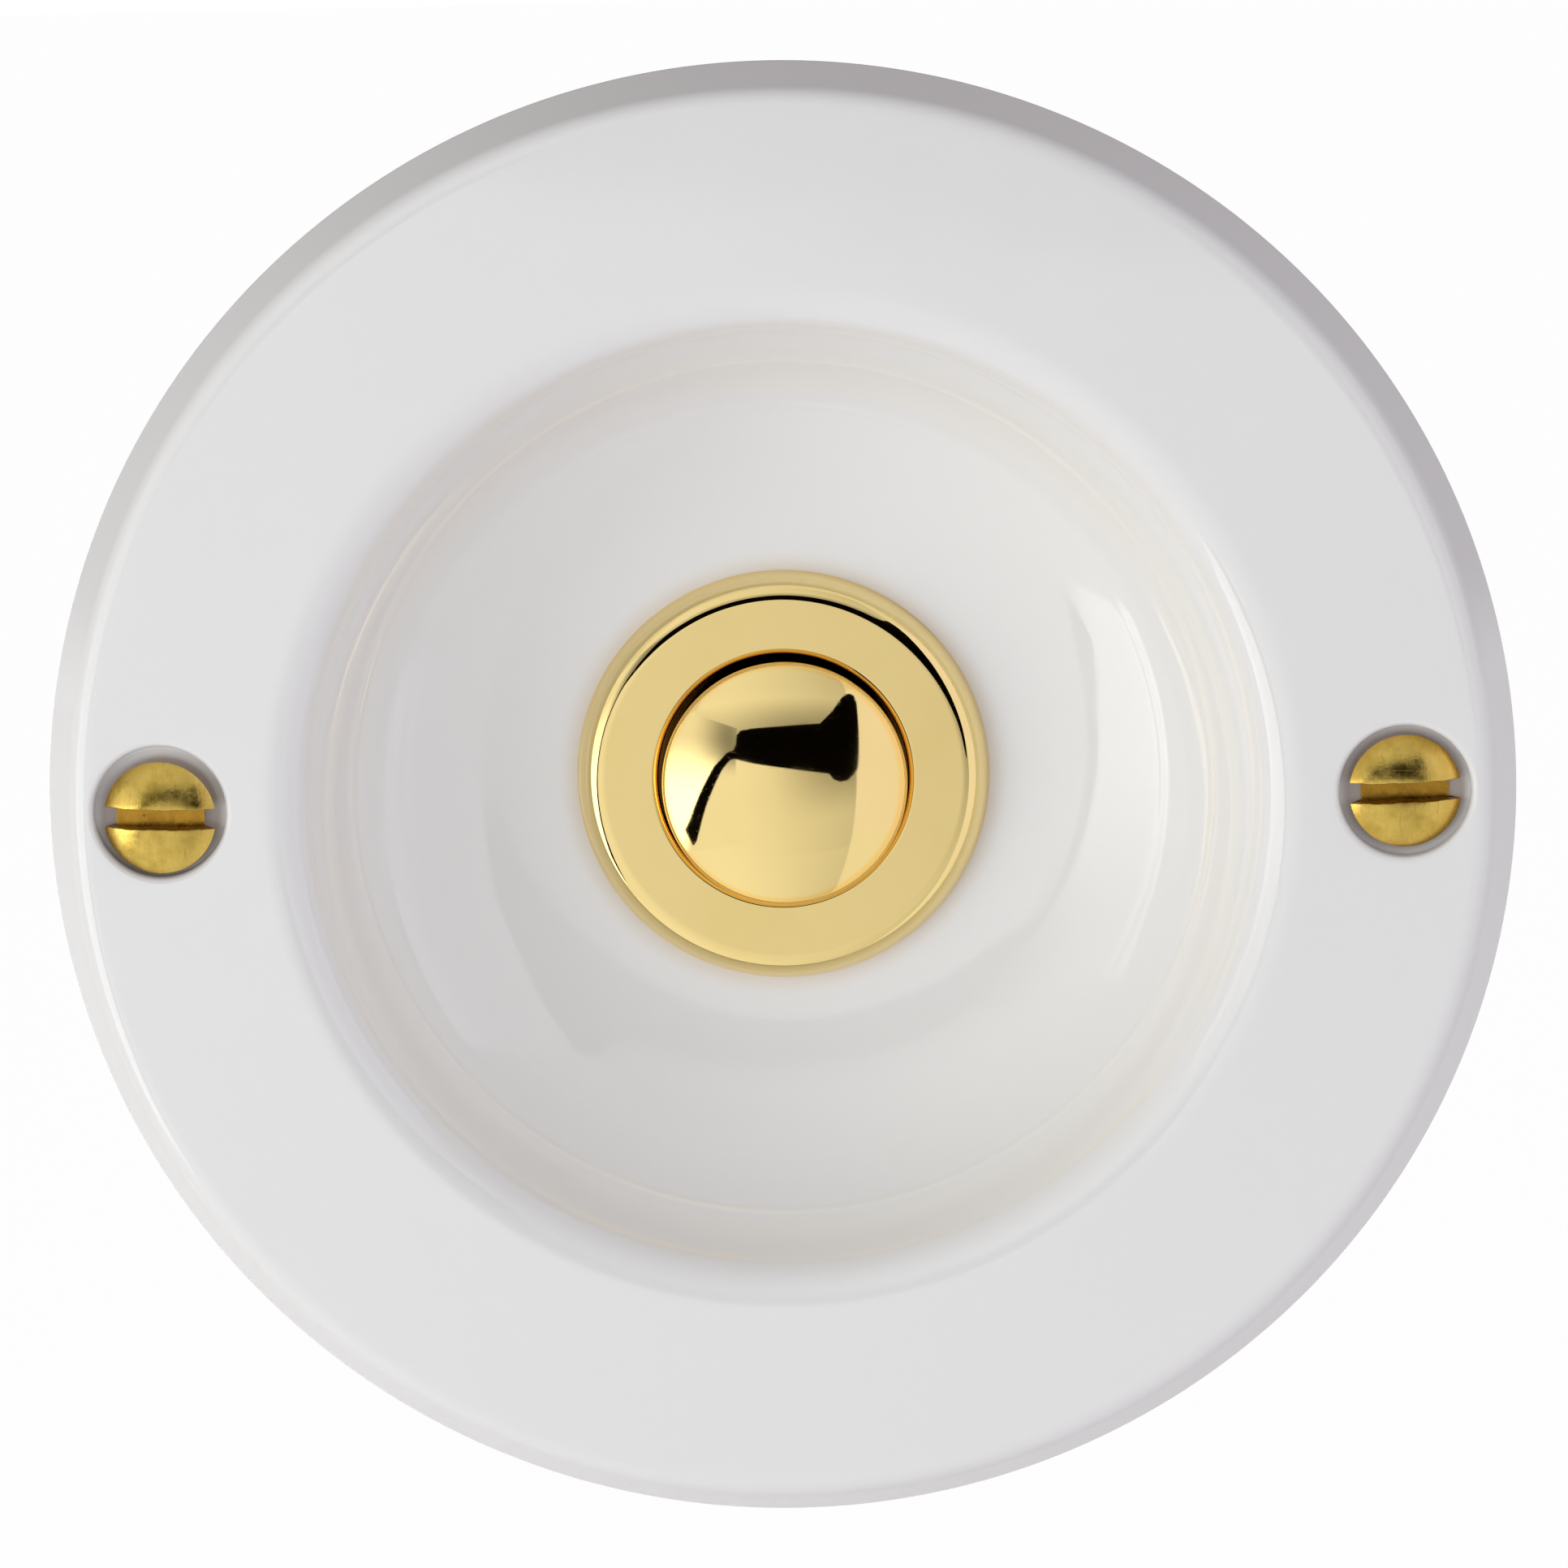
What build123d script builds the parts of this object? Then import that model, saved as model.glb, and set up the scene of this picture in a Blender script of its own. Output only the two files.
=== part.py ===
from build123d import *
import os
from math import atan2, cos, degrees, radians, sin, sqrt

os.makedirs("parts", exist_ok=True)

# Round porcelain doorbell push, sunk into the wall, with a brass bezel and a brass button.
# Millimetres, +Z up. The front faces -Y and the rim rests on the wall plane Y = 0, so a larger Y
# lies deeper in the wall. Turned pieces are drawn as (radius, Y) and revolved about the Y axis.

# Porcelain dish
dish_diameter = 85.0
rim_thickness = 9.0
rim_width = 12.5
rim_face_round = 1.5
rim_bevel_turn = 63.0
rim_bevel_length = 2.8
rim_edge_round = 0.4
rim_side_taper = 12.0
rim_back_round = 1.0
bowl_depth = 11.0
bowl_lip_roll = 3.0
bezel_land_width = 0.8
porcelain_wall = 4.5
bowl_back_fillet = 2.0
barrel_hole_clearance = 0.4

# Fixing screws and their holes in the rim
fixing_edge_distance = 6.65
fixing_recess_clearance = 0.55
fixing_recess_depth = 1.0
fixing_recess_round = 0.4
fixing_ledge = 1.3
fixing_hole_clearance = 0.35
fixing_seat_gap = 0.03
left_hole_lift = 0.3
fixing_screw_diameter = 3.5
fixing_screw_length = 30.0
fixing_shank_diameter = 2.6
fixing_head_diameter = 6.5
fixing_head_dome = 0.9
fixing_slot_width = 1.15
fixing_slot_floor = 0.7
fixing_tip_length = 5.0
left_slot_turn = -1.5
right_slot_turn = 1.1

# Brass bezel with its barrel
bezel_overhang = 2.65
bezel_height = 1.5
bezel_roll_inset = 1.65
bezel_roll_radius = 1.6
bezel_roll_turn = 55.0
barrel_wall = 0.95
barrel_end_chamfer = 0.4
barrel_end_lip = 1.0
bore_lip_round = 0.4
guide_length = 3.0
chamber_clearance = 0.2
base_ledge = 0.35
thread_clearance = 0.05

# Sealing and clamping rings
gasket_width = 1.5
gasket_thickness = 0.7
gasket_clearance = 0.05
fibre_washer_width = 3.6
fibre_washer_thickness = 1.0
nut_wall = 2.0
nut_thickness = 3.0
nut_chamfer_height = 0.6

# Push button
button_diameter = 14.4
button_running_gap = 0.15
button_proud = 1.65
button_dome_rise = 1.75
button_edge_round = 1.0
button_collar_step = 0.8
button_collar_thickness = 1.35
button_travel = 1.6
stop_gap = 0.05

# Moving contact behind the button
bush_spigot_diameter = 5.0
bush_end_web = 0.5
bush_flange_diameter = 8.4
bush_flange_thickness = 2.0
press_clearance = 0.03
bridge_end_margin = 1.5
bridge_width = 3.6
bridge_thickness = 0.5
bridge_tip_diameter = 1.8
bridge_tip_height = 0.3
bridge_screw_diameter = 2.0
bridge_screw_length = 4.0
bridge_screw_head_diameter = 3.6
bridge_screw_head_height = 1.0
bridge_screw_slot = 0.5
tapped_hole_clearance = 0.05
tapped_hole_spare = 0.6

# Return spring
spring_wire = 0.7
spring_wall_gap = 1.25
spring_pitch = 1.6
spring_groove_depth = 0.4
spring_groove_spare = 0.3

# Contact base, its two posts and its retaining ring
contact_rest_gap = 0.05
base_thickness = 6.0
base_clearance = 0.05
barrier_width = 1.2
barrier_height = 3.0
barrier_end_margin = 1.6
post_edge_margin = 0.15
post_tip_diameter = 3.0
post_tip_height = 0.9
post_flange_diameter = 4.2
post_flange_thickness = 0.6
post_body_diameter = 3.6
post_rear_proud = 0.3
circlip_thickness = 0.8
circlip_slack = 0.1
circlip_groove_depth = 0.5
circlip_band = 1.4
circlip_gap_angle = 44.0
circlip_lug_diameter = 2.6
circlip_eye_diameter = 1.1

# Terminals on the back of the base
terminal_screw_diameter = 2.5
terminal_screw_length = 5.0
terminal_head_diameter = 4.4
terminal_head_height = 1.5
terminal_slot_width = 0.6
terminal_slot_depth = 0.8
clamp_plate_side = 5.0
clamp_plate_thickness = 0.7
clamp_plate_round = 0.6
clamp_hole_clearance = 0.15

# Radii that follow from the sizes above
dish_r = dish_diameter / 2
mouth_r = dish_r - rim_width
button_r = button_diameter / 2
bore_r = button_r + button_running_gap
collar_r = button_r + button_collar_step
chamber_r = collar_r + chamber_clearance
base_bore_r = chamber_r + base_ledge
barrel_r = base_bore_r + barrel_wall
centre_hole_r = barrel_r + barrel_hole_clearance
bezel_r = barrel_r + bezel_overhang
land_r = bezel_r + bezel_land_width
spring_coil_r = chamber_r - spring_wall_gap - spring_wire / 2
spring_groove_width = spring_wire + 2 * spring_groove_spare
post_x = spring_coil_r - spring_groove_width / 2 - post_edge_margin - post_flange_diameter / 2
fixing_x = dish_r - fixing_edge_distance
head_r = fixing_head_diameter / 2
shank_r = fixing_shank_diameter / 2
thread_r = fixing_screw_diameter / 2

# Places along Y, from the front to the back
rim_face_y = -rim_thickness
seat_y = rim_face_y + bowl_depth
dish_back_y = seat_y + porcelain_wall
bezel_face_y = seat_y - bezel_height
button_edge_y = bezel_face_y - button_proud
collar_stop_y = bezel_face_y + guide_length
collar_front_y = collar_stop_y + stop_gap
collar_back_y = collar_front_y + button_collar_thickness
bridge_front_y = collar_back_y + bush_flange_thickness
bridge_back_y = bridge_front_y + bridge_thickness
post_tip_y = bridge_back_y + bridge_tip_height + button_travel + contact_rest_gap
base_front_y = post_tip_y + post_tip_height + post_flange_thickness
base_back_y = base_front_y + base_thickness
circlip_groove_end_y = base_back_y + circlip_thickness + circlip_slack
barrel_end_y = circlip_groove_end_y + barrel_end_lip
post_rear_y = base_back_y + post_rear_proud
clamp_back_y = post_rear_y + clamp_plate_thickness


def profile_plane(x=0.0, z=0.0):
    """Plane through an axis parallel to Y, for a (radius, Y) profile."""
    return Plane(origin=(x, 0, z), x_dir=(1, 0, 0), z_dir=(0, 0, 1))


def turning_axis(x=0.0, z=0.0):
    """Axis parallel to Y that a profile is revolved about."""
    return Axis((x, 0, z), (0, 1, 0))


def rear_plane(y, x=0.0, z=0.0):
    """Plane across the axis at depth y, facing into the wall."""
    return Plane(origin=(x, y, z), x_dir=(1, 0, 0), z_dir=(0, 1, 0))


def finish(piece, name):
    """Label a finished piece and write its file."""
    piece.part.label = name
    export_step(piece.part, f"parts/{name}.step")


# Porcelain dish: a flat rim with a bevelled edge, and a bowl of even wall that sinks into the wall.
# The bowl is one hollow arc that runs tangent into the convex roll at its mouth. The rim's side
# draws in towards the wall behind the bevel.
bevel_turn = radians(rim_bevel_turn)
side_taper = radians(rim_side_taper)
bevel_end_r = dish_r - rim_edge_round * (1 - sin(bevel_turn))
bevel_start_r = bevel_end_r - rim_bevel_length * cos(bevel_turn)
bevel_start_y = rim_face_y + rim_face_round * (1 - cos(bevel_turn))
bevel_end_y = bevel_start_y + rim_bevel_length * sin(bevel_turn)
rim_flat_end_r = bevel_start_r - rim_face_round * sin(bevel_turn)
widest_y = bevel_end_y + rim_edge_round * cos(bevel_turn)
side_end_y = -rim_back_round * (1 - sin(side_taper))
side_end_r = dish_r - (side_end_y - widest_y) * sin(side_taper) / cos(side_taper)
rim_back_r = side_end_r - rim_back_round * cos(side_taper)
bowl_turn = 2 * atan2(bowl_depth, mouth_r - land_r)
bowl_radius = (mouth_r - land_r) / sin(bowl_turn) - bowl_lip_roll
bowl_centre_y = seat_y - bowl_radius
bowl_end_r = land_r + bowl_radius * sin(bowl_turn)
bowl_end_y = bowl_centre_y + bowl_radius * cos(bowl_turn)
outside_radius = bowl_radius + porcelain_wall
fillet_centre_r = land_r + sqrt(
    (outside_radius + bowl_back_fillet) ** 2 - (bowl_back_fillet - bowl_centre_y) ** 2
)
fillet_share = outside_radius / (outside_radius + bowl_back_fillet)
outside_start_r = land_r + (fillet_centre_r - land_r) * fillet_share
outside_start_y = bowl_centre_y + (bowl_back_fillet - bowl_centre_y) * fillet_share

recess_r = head_r + fixing_recess_clearance
recess_floor_y = rim_face_y + fixing_recess_depth
cone_mouth_r = recess_r - fixing_ledge
fixing_hole_r = thread_r + fixing_hole_clearance
cone_end_y = recess_floor_y + cone_mouth_r - fixing_hole_r
hole_lifts = {"left": left_hole_lift, "right": 0.0}
side_signs = {"left": -1, "right": 1}

with BuildPart() as porcelain_dish:
    with BuildSketch(profile_plane()):
        with BuildLine():
            Line((centre_hole_r, seat_y), (land_r, seat_y))
            TangentArc((land_r, seat_y), (bowl_end_r, bowl_end_y), tangent=(1, 0))
            TangentArc(
                (bowl_end_r, bowl_end_y),
                (mouth_r, rim_face_y),
                tangent=(cos(bowl_turn), -sin(bowl_turn)),
            )
            Line((mouth_r, rim_face_y), (rim_flat_end_r, rim_face_y))
            TangentArc(
                (rim_flat_end_r, rim_face_y), (bevel_start_r, bevel_start_y), tangent=(1, 0)
            )
            Line((bevel_start_r, bevel_start_y), (bevel_end_r, bevel_end_y))
            TangentArc(
                (bevel_end_r, bevel_end_y),
                (dish_r, widest_y),
                tangent=(cos(bevel_turn), sin(bevel_turn)),
            )
            Line((dish_r, widest_y), (side_end_r, side_end_y))
            TangentArc(
                (side_end_r, side_end_y),
                (rim_back_r, 0),
                tangent=(-sin(side_taper), cos(side_taper)),
            )
            Line((rim_back_r, 0), (fillet_centre_r, 0))
            TangentArc(
                (fillet_centre_r, 0), (outside_start_r, outside_start_y), tangent=(-1, 0)
            )
            TangentArc(
                (land_r, dish_back_y),
                (outside_start_r, outside_start_y),
                tangent=(1, 0),
            )
            Polyline(
                (land_r, dish_back_y), (centre_hole_r, dish_back_y), (centre_hole_r, seat_y)
            )
        make_face()
    revolve(axis=turning_axis())
    for side, sign in side_signs.items():
        with BuildSketch(profile_plane(sign * fixing_x, hole_lifts[side])):
            with BuildLine():
                Polyline(
                    (0, rim_face_y - fixing_recess_round),
                    (recess_r + fixing_recess_round, rim_face_y - fixing_recess_round),
                    (recess_r + fixing_recess_round, rim_face_y),
                )
                TangentArc(
                    (recess_r + fixing_recess_round, rim_face_y),
                    (recess_r, rim_face_y + fixing_recess_round),
                    tangent=(-1, 0),
                )
                Polyline(
                    (recess_r, rim_face_y + fixing_recess_round),
                    (recess_r, recess_floor_y),
                    (cone_mouth_r, recess_floor_y),
                    (fixing_hole_r, cone_end_y),
                    (fixing_hole_r, fixing_recess_round),
                    (0, fixing_recess_round),
                    (0, rim_face_y - fixing_recess_round),
                )
            make_face()
        revolve(axis=turning_axis(sign * fixing_x, hole_lifts[side]), mode=Mode.SUBTRACT)
finish(porcelain_dish, "porcelain_dish")

# Bezel and barrel, turned from one brass bar: a flat ring, a broad roll and a steep convex flank,
# with a groove for the gasket under the flange and a stepped bore behind the button.
flat_end_r = bezel_r - bezel_roll_inset
roll_turn = radians(bezel_roll_turn)
roll_end_r = flat_end_r + bezel_roll_radius * sin(roll_turn)
roll_end_y = bezel_face_y + bezel_roll_radius * (1 - cos(roll_turn))
gasket_groove_r = barrel_r + gasket_width
gasket_top_y = seat_y - gasket_thickness
circlip_groove_r = base_bore_r + circlip_groove_depth
circlip_r = circlip_groove_r - base_clearance

with BuildPart() as bezel_sleeve:
    with BuildSketch(profile_plane()):
        with BuildLine():
            TangentArc(
                (bore_r + bore_lip_round, bezel_face_y),
                (bore_r, bezel_face_y + bore_lip_round),
                tangent=(-1, 0),
            )
            Line((bore_r + bore_lip_round, bezel_face_y), (flat_end_r, bezel_face_y))
            TangentArc((flat_end_r, bezel_face_y), (roll_end_r, roll_end_y), tangent=(1, 0))
            TangentArc(
                (roll_end_r, roll_end_y),
                (bezel_r, seat_y),
                tangent=(cos(roll_turn), sin(roll_turn)),
            )
            Polyline(
                (bezel_r, seat_y),
                (gasket_groove_r, seat_y),
                (gasket_groove_r, gasket_top_y),
                (barrel_r, gasket_top_y),
                (barrel_r, barrel_end_y - barrel_end_chamfer),
                (barrel_r - barrel_end_chamfer, barrel_end_y),
                (base_bore_r, barrel_end_y),
                (base_bore_r, circlip_groove_end_y),
                (circlip_groove_r, circlip_groove_end_y),
                (circlip_groove_r, base_back_y),
                (base_bore_r, base_back_y),
                (base_bore_r, base_front_y),
                (chamber_r, base_front_y),
                (chamber_r, collar_stop_y),
                (bore_r, collar_stop_y),
                (bore_r, bezel_face_y + bore_lip_round),
            )
        make_face()
    revolve(axis=turning_axis())
finish(bezel_sleeve, "bezel_sleeve")

# Flat rubber gasket, held in the groove under the bezel
with BuildPart() as bezel_gasket:
    with BuildSketch(rear_plane(gasket_top_y)):
        Circle(gasket_groove_r - gasket_clearance)
        Circle(barrel_r + gasket_clearance, mode=Mode.SUBTRACT)
    extrude(amount=gasket_thickness)
finish(bezel_gasket, "bezel_gasket")

# Fibre washer between the porcelain and the nut
washer_outer_r = barrel_r + fibre_washer_width
nut_front_y = dish_back_y + fibre_washer_thickness
with BuildPart() as fibre_washer:
    with BuildSketch(rear_plane(dish_back_y)):
        Circle(washer_outer_r)
        Circle(barrel_r + thread_clearance, mode=Mode.SUBTRACT)
    extrude(amount=fibre_washer_thickness)
finish(fibre_washer, "fibre_washer")

# Thin hexagon nut on the barrel's thread, with its corners turned off at both faces
nut_flat_r = barrel_r + nut_wall
nut_corner_r = nut_flat_r / cos(radians(30))
nut_back_y = nut_front_y + nut_thickness
with BuildPart() as ring_nut:
    with BuildSketch(rear_plane(nut_front_y)):
        RegularPolygon(nut_flat_r, 6, major_radius=False)
        Circle(barrel_r + thread_clearance, mode=Mode.SUBTRACT)
    extrude(amount=nut_thickness)
    with BuildSketch(profile_plane()):
        with BuildLine():
            Polyline(
                (0, nut_front_y),
                (nut_flat_r, nut_front_y),
                (nut_corner_r, nut_front_y + nut_chamfer_height),
                (nut_corner_r, nut_back_y - nut_chamfer_height),
                (nut_flat_r, nut_back_y),
                (0, nut_back_y),
                close=True,
            )
        make_face()
    revolve(axis=turning_axis(), mode=Mode.INTERSECT)
finish(ring_nut, "ring_nut")

# Domed brass button with a collar that stops it in the sleeve and a socket for the contact bush
dome_apex_y = button_edge_y - button_dome_rise
socket_r = bush_spigot_diameter / 2 + press_clearance
tapped_r = bridge_screw_diameter / 2 + tapped_hole_clearance
tapped_end_y = bridge_back_y - bridge_screw_length - tapped_hole_spare
socket_floor_y = tapped_end_y - bush_end_web
with BuildPart() as push_button:
    with BuildSketch(profile_plane()) as button_profile:
        with BuildLine():
            TangentArc((0, dome_apex_y), (button_r, button_edge_y), tangent=(1, 0))
            Polyline(
                (button_r, button_edge_y),
                (button_r, collar_front_y),
                (collar_r, collar_front_y),
                (collar_r, collar_back_y),
                (socket_r, collar_back_y),
                (socket_r, socket_floor_y),
                (0, socket_floor_y),
                (0, dome_apex_y),
            )
        make_face()
        dome_corner = button_profile.vertices().sort_by_distance((button_r, button_edge_y))[0]
        fillet(dome_corner, button_edge_round)
    revolve(axis=turning_axis())
finish(push_button, "push_button")

# Insulating bush, pressed into the button and tapped for the bridge screw
with BuildPart() as contact_bush:
    with BuildSketch(profile_plane()):
        with BuildLine():
            Polyline(
                (0, socket_floor_y),
                (bush_spigot_diameter / 2, socket_floor_y),
                (bush_spigot_diameter / 2, collar_back_y),
                (bush_flange_diameter / 2, collar_back_y),
                (bush_flange_diameter / 2, bridge_front_y),
                (tapped_r, bridge_front_y),
                (tapped_r, tapped_end_y),
                (0, tapped_end_y),
                close=True,
            )
        make_face()
    revolve(axis=turning_axis())
finish(contact_bush, "contact_bush")

# Bridge: a springy bronze strip with rounded ends and a raised contact tip over each post
with BuildPart() as contact_bridge:
    with BuildSketch(rear_plane(bridge_front_y)):
        SlotOverall(2 * (post_x + bridge_end_margin), bridge_width)
        Circle(tapped_r, mode=Mode.SUBTRACT)
    extrude(amount=bridge_thickness)
    with BuildSketch(rear_plane(bridge_back_y)):
        with GridLocations(2 * post_x, 0, 2, 1):
            Circle(bridge_tip_diameter / 2)
    extrude(amount=bridge_tip_height)
finish(contact_bridge, "contact_bridge")

# Pan-head screw that holds the bridge to the bush
bridge_head_end_y = bridge_back_y + bridge_screw_head_height
with BuildPart() as bridge_screw:
    with BuildSketch(profile_plane()) as bridge_screw_profile:
        with BuildLine():
            Polyline(
                (0, bridge_back_y - bridge_screw_length),
                (bridge_screw_diameter / 2, bridge_back_y - bridge_screw_length),
                (bridge_screw_diameter / 2, bridge_back_y),
                (bridge_screw_head_diameter / 2, bridge_back_y),
                (bridge_screw_head_diameter / 2, bridge_head_end_y),
                (0, bridge_head_end_y),
                close=True,
            )
        make_face()
        head_corner = bridge_screw_profile.vertices().sort_by_distance(
            (bridge_screw_head_diameter / 2, bridge_head_end_y)
        )[0]
        fillet(head_corner, bridge_screw_head_height / 2)
    revolve(axis=turning_axis())
    with BuildSketch(rear_plane(bridge_head_end_y - bridge_screw_slot)):
        Rectangle(bridge_screw_head_diameter, bridge_screw_slot)
    extrude(amount=bridge_screw_slot, mode=Mode.SUBTRACT)
finish(bridge_screw, "bridge_screw")

# Return spring: round wire wound between the button's collar and the groove in the base
spring_start_y = collar_back_y + spring_wire / 2
spring_end_y = base_front_y + spring_groove_depth - spring_wire / 2
with BuildPart() as return_spring:
    with BuildLine() as spring_line:
        Helix(
            spring_pitch,
            spring_end_y - spring_start_y,
            spring_coil_r,
            center=(0, spring_start_y, 0),
            direction=(0, 1, 0),
        )
    wire_start = spring_line.wire() @ 0
    wire_heading = spring_line.wire() % 0
    with BuildSketch(Plane(origin=wire_start, z_dir=wire_heading)):
        Circle(spring_wire / 2)
    sweep(path=spring_line.wire(), is_frenet=True)
finish(return_spring, "return_spring")

# Moulded contact base: bored for the posts, grooved for the spring, with a barrier behind
with BuildPart() as contact_base:
    with BuildSketch(rear_plane(base_front_y)):
        Circle(base_bore_r - base_clearance)
        with GridLocations(2 * post_x, 0, 2, 1):
            Circle(post_body_diameter / 2 + press_clearance, mode=Mode.SUBTRACT)
    extrude(amount=base_thickness)
    with BuildSketch(rear_plane(base_front_y)):
        Circle(spring_coil_r + spring_groove_width / 2)
        Circle(spring_coil_r - spring_groove_width / 2, mode=Mode.SUBTRACT)
    extrude(amount=spring_groove_depth, mode=Mode.SUBTRACT)
    with BuildSketch(rear_plane(base_back_y)):
        Rectangle(barrier_width, 2 * (circlip_r - circlip_band - barrier_end_margin))
    extrude(amount=barrier_height)
finish(contact_base, "contact_base")

# Spring-steel ring that holds the base in the barrel, with an eye in each lug for pliers
lug_r = circlip_lug_diameter / 2
lug_path_r = circlip_r - lug_r
lug_turn = circlip_gap_angle / 2 + degrees(atan2(lug_r, lug_path_r))
with BuildPart() as base_circlip:
    with BuildSketch(rear_plane(base_back_y)):
        Circle(circlip_r)
        Circle(circlip_r - circlip_band, mode=Mode.SUBTRACT)
        with BuildLine():
            gap_corner = circlip_r / cos(radians(circlip_gap_angle / 2))
            Polyline(
                (0, 0),
                (gap_corner * sin(radians(circlip_gap_angle / 2)), circlip_r),
                (-gap_corner * sin(radians(circlip_gap_angle / 2)), circlip_r),
                close=True,
            )
        make_face(mode=Mode.SUBTRACT)
        with PolarLocations(lug_path_r, 2, 90 - lug_turn, 2 * lug_turn, endpoint=True):
            Circle(lug_r)
            Circle(circlip_eye_diameter / 2, mode=Mode.SUBTRACT)
    extrude(amount=circlip_thickness)
finish(base_circlip, "base_circlip")

# Posts and terminals: each brass post is a fixed contact in front and a tapped terminal behind,
# where a cheese-head screw and a square plate clamp the bell wire.
terminal_r = terminal_screw_diameter / 2
terminal_hole_r = terminal_r + tapped_hole_clearance
terminal_end_y = clamp_back_y - terminal_screw_length
terminal_hole_end_y = terminal_end_y - tapped_hole_spare
terminal_head_y = clamp_back_y + terminal_head_height
for side, sign in side_signs.items():
    terminal_x = sign * post_x

    with BuildPart() as contact_post:
        with BuildSketch(profile_plane(terminal_x)) as post_profile:
            with BuildLine():
                Polyline(
                    (0, post_tip_y),
                    (post_tip_diameter / 2, post_tip_y),
                    (post_tip_diameter / 2, post_tip_y + post_tip_height),
                    (post_flange_diameter / 2, post_tip_y + post_tip_height),
                    (post_flange_diameter / 2, base_front_y),
                    (post_body_diameter / 2, base_front_y),
                    (post_body_diameter / 2, post_rear_y),
                    (terminal_hole_r, post_rear_y),
                    (terminal_hole_r, terminal_hole_end_y),
                    (0, terminal_hole_end_y),
                    close=True,
                )
            make_face()
            tip_corner = post_profile.vertices().sort_by_distance(
                (post_tip_diameter / 2, post_tip_y)
            )[0]
            fillet(tip_corner, post_tip_height / 2)
        revolve(axis=turning_axis(terminal_x))
    finish(contact_post, f"contact_post_{side}")

    with BuildPart() as clamp_plate:
        with BuildSketch(rear_plane(post_rear_y, terminal_x)):
            RectangleRounded(clamp_plate_side, clamp_plate_side, clamp_plate_round)
            Circle(terminal_r + clamp_hole_clearance, mode=Mode.SUBTRACT)
        extrude(amount=clamp_plate_thickness)
    finish(clamp_plate, f"clamp_plate_{side}")

    with BuildPart() as terminal_screw:
        with BuildSketch(profile_plane(terminal_x)):
            with BuildLine():
                Polyline(
                    (0, terminal_end_y),
                    (terminal_r, terminal_end_y),
                    (terminal_r, clamp_back_y),
                    (terminal_head_diameter / 2, clamp_back_y),
                    (terminal_head_diameter / 2, terminal_head_y),
                    (0, terminal_head_y),
                    close=True,
                )
            make_face()
        revolve(axis=turning_axis(terminal_x))
        with BuildSketch(rear_plane(terminal_head_y - terminal_slot_depth, terminal_x)):
            Rectangle(terminal_head_diameter, terminal_slot_width)
        extrude(amount=terminal_slot_depth, mode=Mode.SUBTRACT)
    finish(terminal_screw, f"terminal_screw_{side}")

# Raised countersunk wood screws through the rim: a domed slotted head on a 90-degree cone,
# a thinner rolled shank in the porcelain, and the full thread diameter from the wall to the point.
# The left hole lies a little high, so its screw rides up the cone by as much and stands prouder.
seated_edge_y = recess_floor_y + cone_mouth_r - head_r - fixing_seat_gap
slot_turns = {"left": left_slot_turn, "right": right_slot_turn}
for side, sign in side_signs.items():
    screw_x = sign * fixing_x
    head_edge_y = seated_edge_y - hole_lifts[side]
    head_end_y = head_edge_y + head_r - shank_r
    point_y = head_edge_y + fixing_screw_length
    with BuildPart() as fixing_screw:
        with BuildSketch(profile_plane(screw_x)):
            with BuildLine():
                TangentArc(
                    (0, head_edge_y - fixing_head_dome), (head_r, head_edge_y), tangent=(1, 0)
                )
                Polyline(
                    (head_r, head_edge_y),
                    (shank_r, head_end_y),
                    (shank_r, 0),
                    (thread_r, 0),
                    (thread_r, point_y - fixing_tip_length),
                    (0, point_y),
                    (0, head_edge_y - fixing_head_dome),
                )
            make_face()
        revolve(axis=turning_axis(screw_x))
        with BuildSketch(rear_plane(head_edge_y - fixing_head_dome, screw_x)):
            Rectangle(fixing_head_diameter, fixing_slot_width, rotation=-slot_turns[side])
        extrude(amount=fixing_head_dome + fixing_slot_floor, mode=Mode.SUBTRACT)
    finish(fixing_screw, f"fixing_screw_{side}")
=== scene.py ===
import bmesh
import bpy
from math import atan2, ceil, cos, degrees, exp, pi, radians, sin, sqrt, tan
from mathutils import Matrix, Vector


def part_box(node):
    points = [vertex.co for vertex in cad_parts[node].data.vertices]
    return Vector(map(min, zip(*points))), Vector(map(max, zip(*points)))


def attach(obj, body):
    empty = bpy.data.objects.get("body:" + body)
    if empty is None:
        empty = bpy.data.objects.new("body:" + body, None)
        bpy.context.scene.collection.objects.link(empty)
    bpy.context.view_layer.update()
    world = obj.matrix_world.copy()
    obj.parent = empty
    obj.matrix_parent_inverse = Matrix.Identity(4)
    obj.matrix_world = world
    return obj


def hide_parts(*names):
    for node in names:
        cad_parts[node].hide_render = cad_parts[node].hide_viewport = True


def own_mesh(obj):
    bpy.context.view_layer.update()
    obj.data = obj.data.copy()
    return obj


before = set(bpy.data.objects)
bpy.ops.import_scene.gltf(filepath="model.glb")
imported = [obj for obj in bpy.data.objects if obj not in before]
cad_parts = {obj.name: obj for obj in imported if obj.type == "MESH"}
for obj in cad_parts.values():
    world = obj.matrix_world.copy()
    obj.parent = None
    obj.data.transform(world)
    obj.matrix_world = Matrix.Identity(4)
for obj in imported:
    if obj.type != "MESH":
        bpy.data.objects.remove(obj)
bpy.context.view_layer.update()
mm = 0.001


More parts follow.
